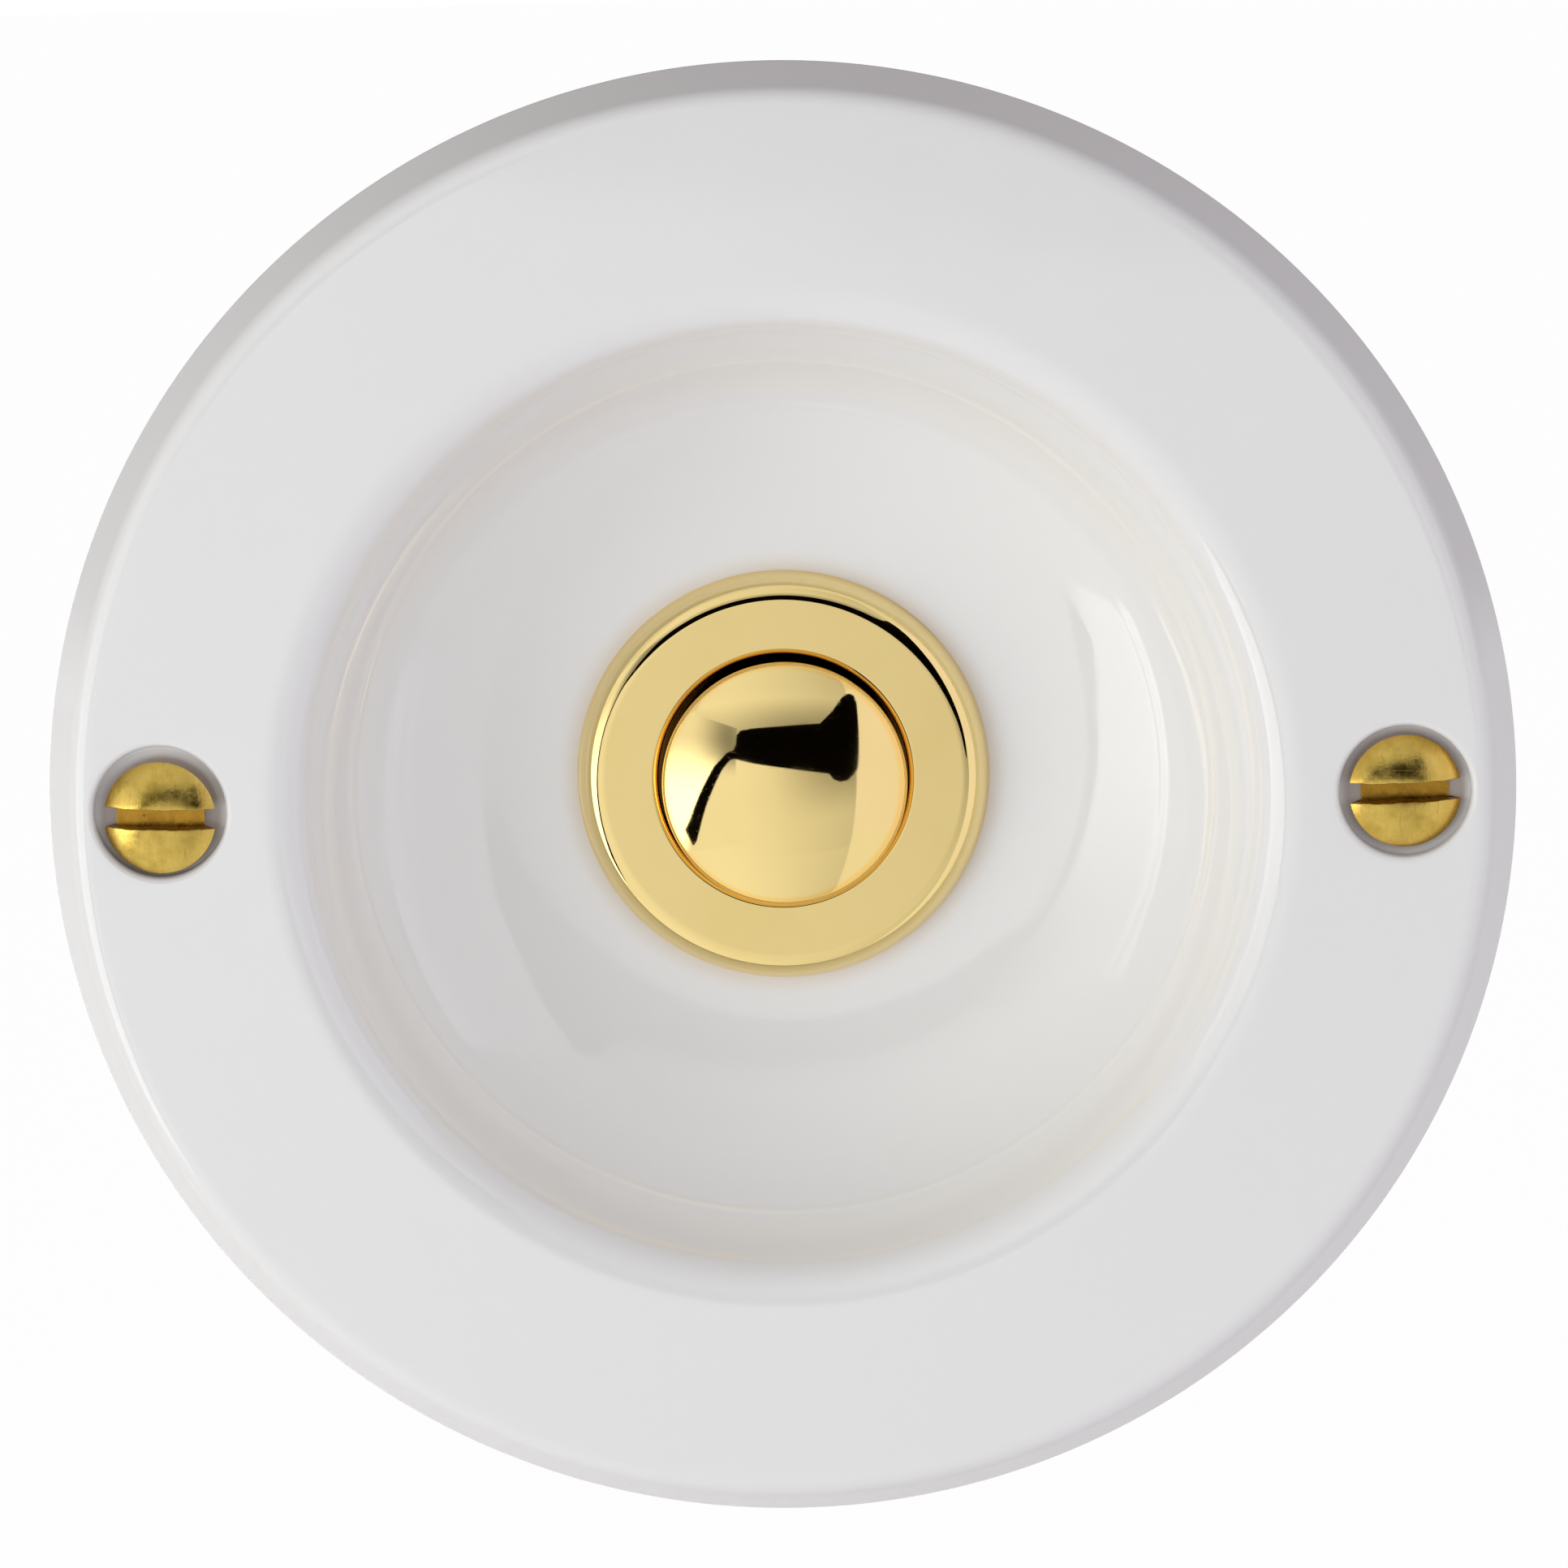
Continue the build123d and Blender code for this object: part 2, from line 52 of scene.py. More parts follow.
# Porcelain dish: a round plate with a flat bevelled rim and a bowl that sinks into the wall, cast
# in one piece and dipped in white glaze. The back of the rim is wiped bare where it stands in the
# kiln.
dish_low, dish_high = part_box("porcelain_dish")
bezel_low, bezel_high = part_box("bezel_sleeve")
dish_r = dish_high.x
rim_face_y = dish_low.y
dish_back_y = dish_high.y
bezel_r = bezel_high.x
bezel_face_y = bezel_low.y
barrel_end_y = bezel_high.y
rim_width = 12.5 * mm
rim_face_round = 1.5 * mm
rim_bevel_turn = 63.0
rim_bevel_length = 2.8 * mm
rim_edge_round = 0.4 * mm
rim_side_taper = 12.0
rim_back_round = 1.0 * mm
bowl_lip_roll = 3.0 * mm
bezel_land_width = 0.8 * mm
porcelain_wall = 4.5 * mm
bowl_back_fillet = 2.0 * mm
bezel_overhang = 2.65 * mm
barrel_hole_clearance = 0.4 * mm
barrel_r = bezel_r - bezel_overhang
centre_hole_r = barrel_r + barrel_hole_clearance
land_r = bezel_r + bezel_land_width
mouth_r = dish_r - rim_width
seat_y = dish_back_y - porcelain_wall
recess_r = 3.8 * mm
recess_depth = 1.0 * mm
recess_round = 0.4 * mm
seat_mouth_r = 2.5 * mm
screw_hole_r = 2.1 * mm
hole_lifts = {"left": 0.3 * mm, "right": 0.0}
dish_sides = 288
recess_sides = 96
weld_distance = 1e-7
sliver_length = 1e-8
sharp_corner = radians(35.0)


def straight(start, end, hold=0.04 * mm):
    """A straight run of a turned profile; close pairs at its ends keep its shading flat."""
    length = sqrt((end[0] - start[0]) ** 2 + (end[1] - start[1]) ** 2)
    share = min(hold / length, 0.25)
    return [
        (start[0] + (end[0] - start[0]) * t, start[1] + (end[1] - start[1]) * t)
        for t in (0.0, share, 1.0 - share, 1.0)
    ]


def arc(centre, radius, first, last, step=4.0):
    """Points of an arc in a turned profile. Angles are in degrees: 0 outward, 90 into the wall."""
    count = max(2, ceil(abs(last - first) / step))
    angles = [radians(first + (last - first) * i / count) for i in range(count + 1)]
    return [(centre[0] + radius * cos(a), centre[1] + radius * sin(a)) for a in angles]


def even_angles(count):
    """Angles round a full turn."""
    return [2 * pi * i / count for i in range(count)]


def join_rings(bm, rings):
    """Skin a row of closed rings that have equally many points."""
    for near, far in zip(rings, rings[1:]):
        for i in range(len(near)):
            j = (i + 1) % len(near)
            bm.faces.new((near[i], near[j], far[j], far[i]))


def turn_profile(bm, profile, angles, x=0.0, z=0.0):
    """Revolve a profile of (radius, y) points about a line parallel to Y."""
    rings = []
    for r, y in profile:
        rings.append([bm.verts.new((x + r * cos(a), y, z + r * sin(a))) for a in angles])
    join_rings(bm, rings)


def put_in_scene(name, data):
    """An object in the scene for a mesh, a light or a camera."""
    made = bpy.data.objects.new(name, data)
    bpy.context.scene.collection.objects.link(made)
    return made


def smooth(mesh):
    """Shade a mesh smooth up to its sharp corners."""
    mesh.shade_smooth()
    mesh.set_sharp_from_angle(angle=sharp_corner)


def make_piece(bm, name):
    """Weld a mesh, shade it smooth up to its corners, and put it in the scene as a piece."""
    bmesh.ops.remove_doubles(bm, verts=bm.verts, dist=weld_distance)
    bmesh.ops.dissolve_degenerate(bm, edges=bm.edges, dist=sliver_length)
    bmesh.ops.recalc_face_normals(bm, faces=bm.faces)
    mesh = bpy.data.meshes.new(name)
    bm.to_mesh(mesh)
    bm.free()
    smooth(mesh)
    return put_in_scene(name, mesh)


def cut(piece, cutter):
    """Cut one piece out of another and throw the cutter away."""
    trim = piece.modifiers.new("cut", "BOOLEAN")
    trim.object = cutter
    trim.solver = "EXACT"
    depsgraph = bpy.context.evaluated_depsgraph_get()
    mesh = bpy.data.meshes.new_from_object(piece.evaluated_get(depsgraph))
    piece.modifiers.clear()
    piece.data = mesh
    smooth(mesh)
    bpy.data.objects.remove(cutter)


def axis_of(node):
    """Where a node's axis runs: the middle of its box across and up."""
    low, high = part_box(node)
    return (low.x + high.x) / 2, (low.z + high.z) / 2


bowl_turn = 2 * atan2(seat_y - rim_face_y, mouth_r - land_r)
bowl_radius = (mouth_r - land_r) / sin(bowl_turn) - bowl_lip_roll
bowl_centre = (land_r, seat_y - bowl_radius)
outside_radius = bowl_radius + porcelain_wall
fillet_centre = (
    land_r
    + sqrt((outside_radius + bowl_back_fillet) ** 2 - (bowl_back_fillet - bowl_centre[1]) ** 2),
    bowl_back_fillet,
)
fillet_angle = degrees(atan2(bowl_back_fillet - bowl_centre[1], fillet_centre[0] - land_r))
bevel_way = radians(rim_bevel_turn)
bevel_start_y = rim_face_y + rim_face_round * (1 - cos(bevel_way))
edge_centre = (
    dish_r - rim_edge_round,
    bevel_start_y + rim_bevel_length * sin(bevel_way) + rim_edge_round * cos(bevel_way),
)
bevel_start_r = (
    edge_centre[0] + rim_edge_round * sin(bevel_way) - rim_bevel_length * cos(bevel_way)
)
rim_flat_end_r = bevel_start_r - rim_face_round * sin(bevel_way)
side_slope = tan(radians(rim_side_taper))
side_end_y = -rim_back_round * (1 - sin(radians(rim_side_taper)))
side_end_r = dish_r - (side_end_y - edge_centre[1]) * side_slope
rim_back_r = side_end_r - rim_back_round * cos(radians(rim_side_taper))
lip_ridge_inset = 0.9
ridge_places = (degrees(bowl_turn) - lip_ridge_inset, 50.4, 36.0)
ridge_heights = (0.014 * mm, 0.030 * mm, 0.012 * mm)
ridge_half_width = 0.22 * mm
ridge_step = 0.22
ridge_half_steps = 8
bowl_steps = 44


def bowl_side(first, last):
    """The bowl's arc from its middle to its mouth, with faint ridges left by the profile tool.

    Angles are in degrees from the bowl's floor."""
    steps = [first + (last - first) * i / bowl_steps for i in range(bowl_steps + 1)]
    for place in ridge_places:
        finer = [place + ridge_step * i for i in range(-ridge_half_steps, ridge_half_steps + 1)]
        steps += [step for step in finer if first < step < last]
    points = []
    for step in sorted(steps):
        ridge = sum(
            height * exp(-((radians(step - place) * bowl_radius / ridge_half_width) ** 2))
            for place, height in zip(ridge_places, ridge_heights)
        )
        a = radians(90.0 - step)
        reach = bowl_radius - ridge
        points.append((bowl_centre[0] + reach * cos(a), bowl_centre[1] + reach * sin(a)))
    return points


dish_profile = straight((centre_hole_r, seat_y), (land_r, seat_y))
dish_profile += bowl_side(0.0, degrees(bowl_turn))
dish_profile += arc(
    (mouth_r, rim_face_y + bowl_lip_roll), bowl_lip_roll, -90.0 - degrees(bowl_turn), -90.0
)
dish_profile += straight((mouth_r, rim_face_y), (rim_flat_end_r, rim_face_y))
dish_profile += arc(
    (rim_flat_end_r, rim_face_y + rim_face_round), rim_face_round, -90.0, rim_bevel_turn - 90.0
)
edge_arc = arc(edge_centre, rim_edge_round, rim_bevel_turn - 90.0, 0.0, 5.0)
dish_profile += straight((bevel_start_r, bevel_start_y), edge_arc[0])
dish_profile += edge_arc
dish_profile += straight(edge_arc[-1], (side_end_r, side_end_y))
dish_profile += arc((rim_back_r, -rim_back_round), rim_back_round, rim_side_taper, 90.0, 9.0)
dish_profile += straight((rim_back_r, 0.0), (fillet_centre[0], 0.0))
dish_profile += arc(fillet_centre, bowl_back_fillet, -90.0, fillet_angle - 180.0, 9.0)
dish_profile += arc(bowl_centre, outside_radius, fillet_angle, 90.0, 3.0)
dish_profile += straight((land_r, dish_back_y), (centre_hole_r, dish_back_y))
dish_profile.append((centre_hole_r, seat_y))

dish_mesh = bmesh.new()
turn_profile(dish_mesh, dish_profile, even_angles(dish_sides))
dish = make_piece(dish_mesh, "porcelain_dish_glazed")
above_y = rim_face_y - recess_round
recess_mouth_r = recess_r + recess_round
recess_floor_y = rim_face_y + recess_depth
recess_profile = [(0.0, above_y), (recess_mouth_r, above_y)]
recess_profile += arc(
    (recess_mouth_r, rim_face_y + recess_round), recess_round, -90.0, -180.0, 9.0
)
recess_profile += [
    (recess_r, recess_floor_y),
    (seat_mouth_r, recess_floor_y),
    (screw_hole_r, recess_floor_y + seat_mouth_r - screw_hole_r),
    (screw_hole_r, recess_round),
    (0.0, recess_round),
]
for side, lift in hole_lifts.items():
    hole_x = axis_of(f"fixing_screw_{side}")[0]
    recess_mesh = bmesh.new()
    turn_profile(recess_mesh, recess_profile, even_angles(recess_sides), hole_x, lift)
    cut(dish, make_piece(recess_mesh, "recess_cutter"))


def add(tree, kind, inputs, **settings):
    """Add a shader node, set its options, and link or set its inputs."""
    made = tree.nodes.new(kind)
    for name, value in settings.items():
        setattr(made, name, value)
    for name, value in inputs.items():
        if isinstance(value, bpy.types.NodeSocket):
            tree.links.new(value, made.inputs[name])
        else:
            made.inputs[name].default_value = value
    return made


def calculate(tree, operation, *values):
    """A math node's result."""
    return add(tree, "ShaderNodeMath", dict(enumerate(values)), operation=operation).outputs[0]


def product(tree, first, second):
    """Two values multiplied."""
    return calculate(tree, "MULTIPLY", first, second)


def blend_colours(tree, share, first, second):
    """A colour between two others."""
    made = add(tree, "ShaderNodeMix", {0: share, 6: first, 7: second}, data_type="RGBA")
    return made.outputs[2]


def ramp(tree, value, low, high, at_low, at_high):
    """A value eased from one level to another between two limits."""
    limits = {"From Min": low, "From Max": high, "To Min": at_low, "To Max": at_high}
    limits["Value"] = value
    made = add(tree, "ShaderNodeMapRange", limits, interpolation_type="SMOOTHSTEP")
    return made.outputs["Result"]


def noise(tree, place, scale, detail=2.0, roughness=0.5):
    """A cloudy value over the surface."""
    inputs = {"Vector": place, "Scale": scale, "Detail": detail, "Roughness": roughness}
    return add(tree, "ShaderNodeTexNoise", inputs).outputs["Fac"]


def split(tree, place):
    """A place's distances across, in depth and up."""
    return add(tree, "ShaderNodeSeparateXYZ", {"Vector": place}).outputs


def axis_distance(tree, across, up):
    """How far a place lies from an axis, from its two offsets."""
    squares = calculate(tree, "MULTIPLY_ADD", across, across, product(tree, up, up))
    return calculate(tree, "SQRT", squares)


def new_material(name, plain):
    """A material with its shader's plain values; returns it, its tree, its shader and its place."""
    made = bpy.data.materials.new(name)
    made.use_nodes = True
    tree = made.node_tree
    shader = tree.nodes["Principled BSDF"]
    for socket, value in plain.items():
        shader.inputs[socket].default_value = value
    place = add(tree, "ShaderNodeTexCoord", {}).outputs["Object"]
    return made, tree, shader, place


def feed(tree, shader, colour, roughness, height, depth):
    """Lead a colour, a roughness and a relief of the given depth into a shader."""
    tree.links.new(colour, shader.inputs["Base Color"])
    tree.links.new(roughness, shader.inputs["Roughness"])
    relief = add(tree, "ShaderNodeBump", {"Strength": 1.0, "Distance": depth, "Height": height})
    tree.links.new(relief.outputs["Normal"], shader.inputs["Normal"])


glaze_white = (0.870, 0.880, 0.868, 1.0)
glaze_pooled = (0.858, 0.854, 0.826, 1.0)
glaze_speck = (0.20, 0.16, 0.13, 1.0)
bare_porcelain = (0.70, 0.66, 0.60, 1.0)
recess_painted_shade = (0.33, 0.25, 0.22, 1.0)
bezel_painted_shade = (0.74, 0.62, 0.48, 1.0)
ridge_painted_highlight = (0.95, 0.91, 0.81, 1.0)
speck_share = 0.16
pool_start = 1.0 * mm
recess_shade_width = 0.55 * mm
recess_shade_overlap = 0.05 * mm
bezel_shade_tuck = 0.1 * mm
bezel_shade_width = 1.3 * mm
highlight_core = 0.02 * mm
highlight_reach = 0.18 * mm
foot_bare = 0.15 * mm
foot_edge = 0.45 * mm
glaze_relief = 0.04 * mm
glazed_porcelain, tree, shader, place = new_material("glazed_porcelain", {"IOR": 1.52})
across, depth, up = split(tree, place)
pooling = ramp(tree, depth, rim_face_y + pool_start, seat_y, 0.0, 0.6)
clouded = ramp(tree, noise(tree, place, 45.0, 3.0), 0.35, 0.75, 0.0, 0.25)
pooled = calculate(tree, "MAXIMUM", pooling, clouded)
glaze = blend_colours(tree, pooled, glaze_white, glaze_pooled)
specks = add(tree, "ShaderNodeTexVoronoi", {"Vector": place, "Scale": 240.0})
chosen = calculate(tree, "LESS_THAN", specks.outputs["Color"], speck_share)
small = ramp(tree, specks.outputs["Distance"], 0.015, 0.035, 0.75, 0.0)
glaze = blend_colours(tree, product(tree, chosen, small), glaze, glaze_speck)
screw_off = axis_of("fixing_screw_right")[0]
from_screw = calculate(tree, "SUBTRACT", calculate(tree, "ABSOLUTE", across), screw_off)
from_screw = axis_distance(tree, from_screw, up)
# Painted shade: the glaze darkens to brown-grey inside the screw recesses, round the heads.
recess_shaded = product(
    tree,
    ramp(tree, from_screw, recess_r - recess_shade_width, recess_r, 0.75, 0.15),
    calculate(tree, "LESS_THAN", from_screw, recess_r + recess_shade_overlap),
)
glaze = blend_colours(tree, recess_shaded, glaze, recess_painted_shade)
out_r = axis_distance(tree, across, up)
# Painted shade: a warm brown ring on the glaze round the bezel, for its shade and the brass's warm
# reflected light.
bezel_shaded = ramp(tree, out_r, bezel_r - bezel_shade_tuck, bezel_r + bezel_shade_width, 0.45, 0.0)
glaze = blend_colours(tree, bezel_shaded, glaze, bezel_painted_shade)
# Painted highlights: thin cream lines along the two highest ridges in the bowl, broken into
# patches.
patches = ramp(tree, noise(tree, place, 60.0, 2.0), 0.40, 0.62, 0.08, 0.6)
for ridge_place in ridge_places[:2]:
    ridge_r = bowl_centre[0] + bowl_radius * sin(radians(ridge_place))
    off_ridge = calculate(tree, "ABSOLUTE", calculate(tree, "SUBTRACT", out_r, ridge_r))
    on_ridge = ramp(tree, off_ridge, highlight_core, highlight_reach, 1.0, 0.0)
    glaze = blend_colours(tree, product(tree, on_ridge, patches), glaze, ridge_painted_highlight)
lip_start_r = mouth_r - bowl_lip_roll
foot = ramp(tree, calculate(tree, "ABSOLUTE", depth), foot_bare, foot_edge, 1.0, 0.0)
foot = product(tree, foot, calculate(tree, "GREATER_THAN", out_r, lip_start_r))
grain = noise(tree, place, 2600.0, 3.0)
bare = blend_colours(tree, ramp(tree, grain, 0.3, 0.7, 0.0, 0.4), bare_porcelain, glaze_white)
gloss = ramp(tree, noise(tree, place, 160.0), 0.3, 0.7, 0.05, 0.085)
ripples = noise(tree, place, 640.0, 1.0)
waves = calculate(tree, "MULTIPLY_ADD", ripples, 0.05, noise(tree, place, 85.0, 1.0))
throwing = add(
    tree, "ShaderNodeTexNoise", {"W": out_r, "Scale": 900.0, "Detail": 2.0}, noise_dimensions="1D"
).outputs["Fac"]
inside = ramp(tree, out_r, lip_start_r, mouth_r, 0.14, 0.0)
waves = calculate(tree, "MULTIPLY_ADD", throwing, inside, waves)
relief = calculate(tree, "MULTIPLY_ADD", product(tree, grain, foot), 0.25, waves)
feed(
    tree,
    shader,
    blend_colours(tree, foot, glaze, bare),
    calculate(tree, "MULTIPLY_ADD", foot, 0.7, gloss),
    relief,
    glaze_relief,
)
dish.data.materials.append(glazed_porcelain)
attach(dish, "plate")
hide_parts("porcelain_dish")


# Bezel gasket: a flat rubber ring, punched from sheet and pressed into the groove under the bezel,
# so that no water runs down the barrel.
def dress(node, finish, edge=0.06 * mm):
    """Give a solid from the frame its finish and break its sharp edges a little."""
    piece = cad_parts[node]
    piece.data.materials.clear()
    piece.data.materials.append(finish)
    weld = piece.modifiers.new("weld", "WELD")
    weld.merge_threshold = weld_distance
    broken = piece.modifiers.new("broken_edges", "BEVEL")
    broken.width = edge
    broken.segments = 2
    broken.limit_method = "ANGLE"
    broken.angle_limit = radians(40.0)
    broken.harden_normals = True
    return piece


rubber_black = (0.022, 0.022, 0.024, 1.0)
rubber_bloom = (0.075, 0.073, 0.07, 1.0)
rubber_relief = 0.02 * mm
gasket_rubber, tree, shader, place = new_material("gasket_rubber", {"Specular IOR Level": 0.35})
bloom = ramp(tree, noise(tree, place, 380.0, 4.0), 0.45, 0.75, 0.0, 0.8)
tooth = noise(tree, place, 5200.0, 2.0)
feed(
    tree,
    shader,
    blend_colours(tree, bloom, rubber_black, rubber_bloom),
    ramp(tree, tooth, 0.3, 0.7, 0.62, 0.85),
    tooth,
    rubber_relief,
)
dress("bezel_gasket", gasket_rubber)


# Bezel sleeve: a flat brass ring with a broad rolled edge on a long threaded barrel, turned from
# one bar and polished in front. It goes through the dish from the front and guides the button.
bore_r = 7.35 * mm
bore_lip_round = 0.4 * mm
bezel_roll_inset = 1.65 * mm
bezel_roll_radius = 1.6 * mm
bezel_roll_turn = 55.0
gasket_width = 1.5 * mm
gasket_depth = 0.7 * mm
barrel_wall = 0.95 * mm
barrel_neck = 1.0 * mm
barrel_chamfer = 0.4 * mm
barrel_end_inset = 0.1 * mm
barrel_pitch = 1.0 * mm
barrel_thread_depth = 0.45 * mm
barrel_ridge = [(0.0, 0.0), (0.12, 0.0), (0.44, 1.0), (0.56, 1.0), (0.88, 0.0)]
button_guide_length = 3.0 * mm
circlip_groove_depth = 0.5 * mm
circlip_play = 0.1 * mm
chamber_r = 8.2 * mm
bezel_sides = 240
gasket_groove_r = barrel_r + gasket_width
gasket_top_y = seat_y - gasket_depth
base_bore_r = barrel_r - barrel_wall
circlip_groove_r = base_bore_r + circlip_groove_depth
collar_stop_y = bezel_face_y + button_guide_length
circlip_low, circlip_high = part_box("base_circlip")
circlip_groove_end_y = circlip_high.y + circlip_play
base_front_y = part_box("contact_base")[0].y
barrel_thread_start_y = seat_y + barrel_neck


def thread_run(bm, angles, start_y, end_y, pitch, ridge, root, crest, x=0.0, z=0.0):
    """A helical thread between two depths, which fades out at both ends.

    The ridge is (share of the pitch, share of the height) points over one pitch; root and crest
    give the radius at a depth."""
    columns = []
    turns = ceil((end_y - start_y) / pitch)
    for a in angles:
        column = []
        for turn in range(-1, turns + 1):
            for share, height in ridge:
                y = start_y + pitch * (turn + share + (a - angles[0]) / (2 * pi))
                y = min(max(y, start_y), end_y)
                fade = min(1.0, (y - start_y) / pitch, (end_y - y) / pitch)
                r = root(y) + (crest(y) - root(y)) * height * fade
                column.append(bm.verts.new((x + r * cos(a), y, z + r * sin(a))))
        columns.append(column)
    columns.append(columns[0][len(ridge):])
    for near, far in zip(columns, columns[1:]):
        for i in range(min(len(near), len(far)) - 1):
            bm.faces.new((near[i], far[i], far[i + 1], near[i + 1]))


flat_end_r = bezel_r - bezel_roll_inset
roll_centre = (flat_end_r, bezel_face_y + bezel_roll_radius)
roll_end = arc(roll_centre, bezel_roll_radius, -90.0, bezel_roll_turn - 90.0)[-1]
flank_chord = sqrt((bezel_r - roll_end[0]) ** 2 + (seat_y - roll_end[1]) ** 2)
flank_slope = degrees(atan2(seat_y - roll_end[1], bezel_r - roll_end[0]))
flank_turn = 2 * (flank_slope - bezel_roll_turn)
flank_radius = flank_chord / (2 * sin(radians(flank_turn / 2)))
flank_start = bezel_roll_turn - 90.0
flank_centre = (
    roll_end[0] - flank_radius * cos(radians(flank_start)),
    roll_end[1] - flank_radius * sin(radians(flank_start)),
)
thread_root_r = barrel_r - barrel_thread_depth
thread_end_y = barrel_end_y - barrel_chamfer
front_profile = straight((bore_r, collar_stop_y), (bore_r, bezel_face_y + bore_lip_round))
front_profile += arc(
    (bore_r + bore_lip_round, bezel_face_y + bore_lip_round), bore_lip_round, 180.0, 270.0, 5.0
)
front_profile += straight((bore_r + bore_lip_round, bezel_face_y), (flat_end_r, bezel_face_y))
front_profile += arc(roll_centre, bezel_roll_radius, -90.0, flank_start, 2.5)
front_profile += arc(flank_centre, flank_radius, flank_start, flank_start + flank_turn, 2.5)
front_profile += [
    (gasket_groove_r, seat_y),
    (gasket_groove_r, gasket_top_y),
    (barrel_r, gasket_top_y),
    (barrel_r, barrel_thread_start_y - barrel_thread_depth),
    (thread_root_r, barrel_thread_start_y),
]
rear_profile = [
    (thread_root_r, thread_end_y),
    (barrel_r - barrel_chamfer - barrel_end_inset, barrel_end_y),
    (base_bore_r, barrel_end_y),
    (base_bore_r, circlip_groove_end_y),
    (circlip_groove_r, circlip_groove_end_y),
    (circlip_groove_r, circlip_low.y),
    (base_bore_r, circlip_low.y),
    (base_bore_r, base_front_y),
    (chamber_r, base_front_y),
    (chamber_r, collar_stop_y),
    (bore_r, collar_stop_y),
]
bezel_angles = even_angles(bezel_sides)
bezel_mesh = bmesh.new()
turn_profile(bezel_mesh, front_profile, bezel_angles)
turn_profile(bezel_mesh, rear_profile, bezel_angles)
thread_run(
    bezel_mesh,
    bezel_angles,
    barrel_thread_start_y,
    thread_end_y,
    barrel_pitch,
    barrel_ridge,
    lambda y: thread_root_r,
    lambda y: barrel_r,
)
bezel = make_piece(bezel_mesh, "bezel_sleeve_turned")


def group_of(name, inputs, outputs):
    """An empty node group with named value inputs and outputs; returns it and its two end nodes."""
    made = bpy.data.node_groups.new(name, "ShaderNodeTree")
    for label, kind in inputs.items():
        made.interface.new_socket(label, in_out="INPUT", socket_type=kind)
    for label in outputs:
        made.interface.new_socket(label, in_out="OUTPUT", socket_type="NodeSocketFloat")
    return made, made.nodes.new("NodeGroupInput"), made.nodes.new("NodeGroupOutput")


def hair_scratches(tree, place, fineness):
    """Place the hair scratches' group in a material."""
    inputs = {"Place": place, "Fineness": fineness}
    return add(tree, "ShaderNodeGroup", inputs, node_tree=scratch_group).outputs["Lines"]


def turning_marks(tree, place, axis_x, fineness):
    """Place the turning marks' group in a material."""
    inputs = {"Place": place, "Axis X": axis_x, "Fineness": fineness}
    return add(tree, "ShaderNodeGroup", inputs, node_tree=turning_group).outputs["Rings"]


# Hair scratches: thin, nearly straight lines in three directions, the crests of a drawn-out noise.
scratch_stretch = (0.03, 1.0, 1.0)
scratch_edge = 0.06
scratch_group, ends_in, ends_out = group_of(
    "hair_scratches", {"Place": "NodeSocketVector", "Fineness": "NodeSocketFloat"}, ["Lines"]
)
lines = None
for turn, share in ((0.5, 0.69), (1.7, 0.71), (2.6, 0.7)):
    turned = add(
        scratch_group,
        "ShaderNodeMapping",
        {
            "Vector": ends_in.outputs["Place"],
            "Rotation": (0.3, turn, 0.2),
            "Scale": scratch_stretch,
        },
    )
    sized = add(
        scratch_group,
        "ShaderNodeVectorMath",
        {0: turned.outputs[0], "Scale": ends_in.outputs["Fineness"]},
        operation="SCALE",
    )
    streaked = noise(scratch_group, sized.outputs[0], 1.0, 1.0)
    line = ramp(scratch_group, streaked, share, share + scratch_edge, 0.0, 1.0)
    lines = line if lines is None else calculate(scratch_group, "MAXIMUM", lines, line)
scratch_group.links.new(lines, ends_out.inputs["Lines"])

# Turning marks: fine rings round an axis parallel to Y, as a lathe tool or a polishing mop leaves.
turning_group, ends_in, ends_out = group_of(
    "turning_marks",
    {"Place": "NodeSocketVector", "Axis X": "NodeSocketFloat", "Fineness": "NodeSocketFloat"},
    ["Rings"],
)
ring_x, ring_y, ring_z = split(turning_group, ends_in.outputs["Place"])
ring_x = calculate(turning_group, "SUBTRACT", ring_x, ends_in.outputs["Axis X"])
ring_r = axis_distance(turning_group, ring_x, ring_z)
ring_place = calculate(turning_group, "ADD", ring_r, ring_y)
ring_noise = add(
    turning_group,
    "ShaderNodeTexNoise",
    {"W": ring_place, "Scale": ends_in.outputs["Fineness"], "Detail": 3.0},
    noise_dimensions="1D",
)
turning_group.links.new(ring_noise.outputs["Fac"], ends_out.inputs["Rings"])

brass_bright = (0.775, 0.605, 0.262, 1.0)
brass_deep = (0.735, 0.560, 0.222, 1.0)
brass_painted_reflection = (0.80, 0.52, 0.15, 1.0)
brass_painted_sheen = (0.90, 0.725, 0.36, 1.0)
gap_painted_shade = (0.07, 0.032, 0.008, 1.0)
lip_reflection_start = 0.7 * mm
lip_reflection_full = 0.35 * mm
lip_reflection_width = 0.3 * mm
sheen_start = 0.8 * mm
sheen_full = 0.4 * mm
gap_shade_start = 0.25 * mm
gap_shade_full = 0.7 * mm
gap_reach = 0.25 * mm
polish_relief = 0.00012 * mm
polished_brass, tree, shader, place = new_material("polished_brass", {"Metallic": 1.0})
clouds = ramp(tree, noise(tree, place, 190.0, 3.0), 0.4, 0.8, 0.0, 0.5)
hairs = hair_scratches(tree, place, 9000.0)
rings = turning_marks(tree, place, 0.0, 16000.0)
smear = ramp(tree, noise(tree, place, 330.0, 2.0), 0.4, 0.8, 0.03, 0.06)
across, depth, up = split(tree, place)
out_r = axis_distance(tree, across, up)
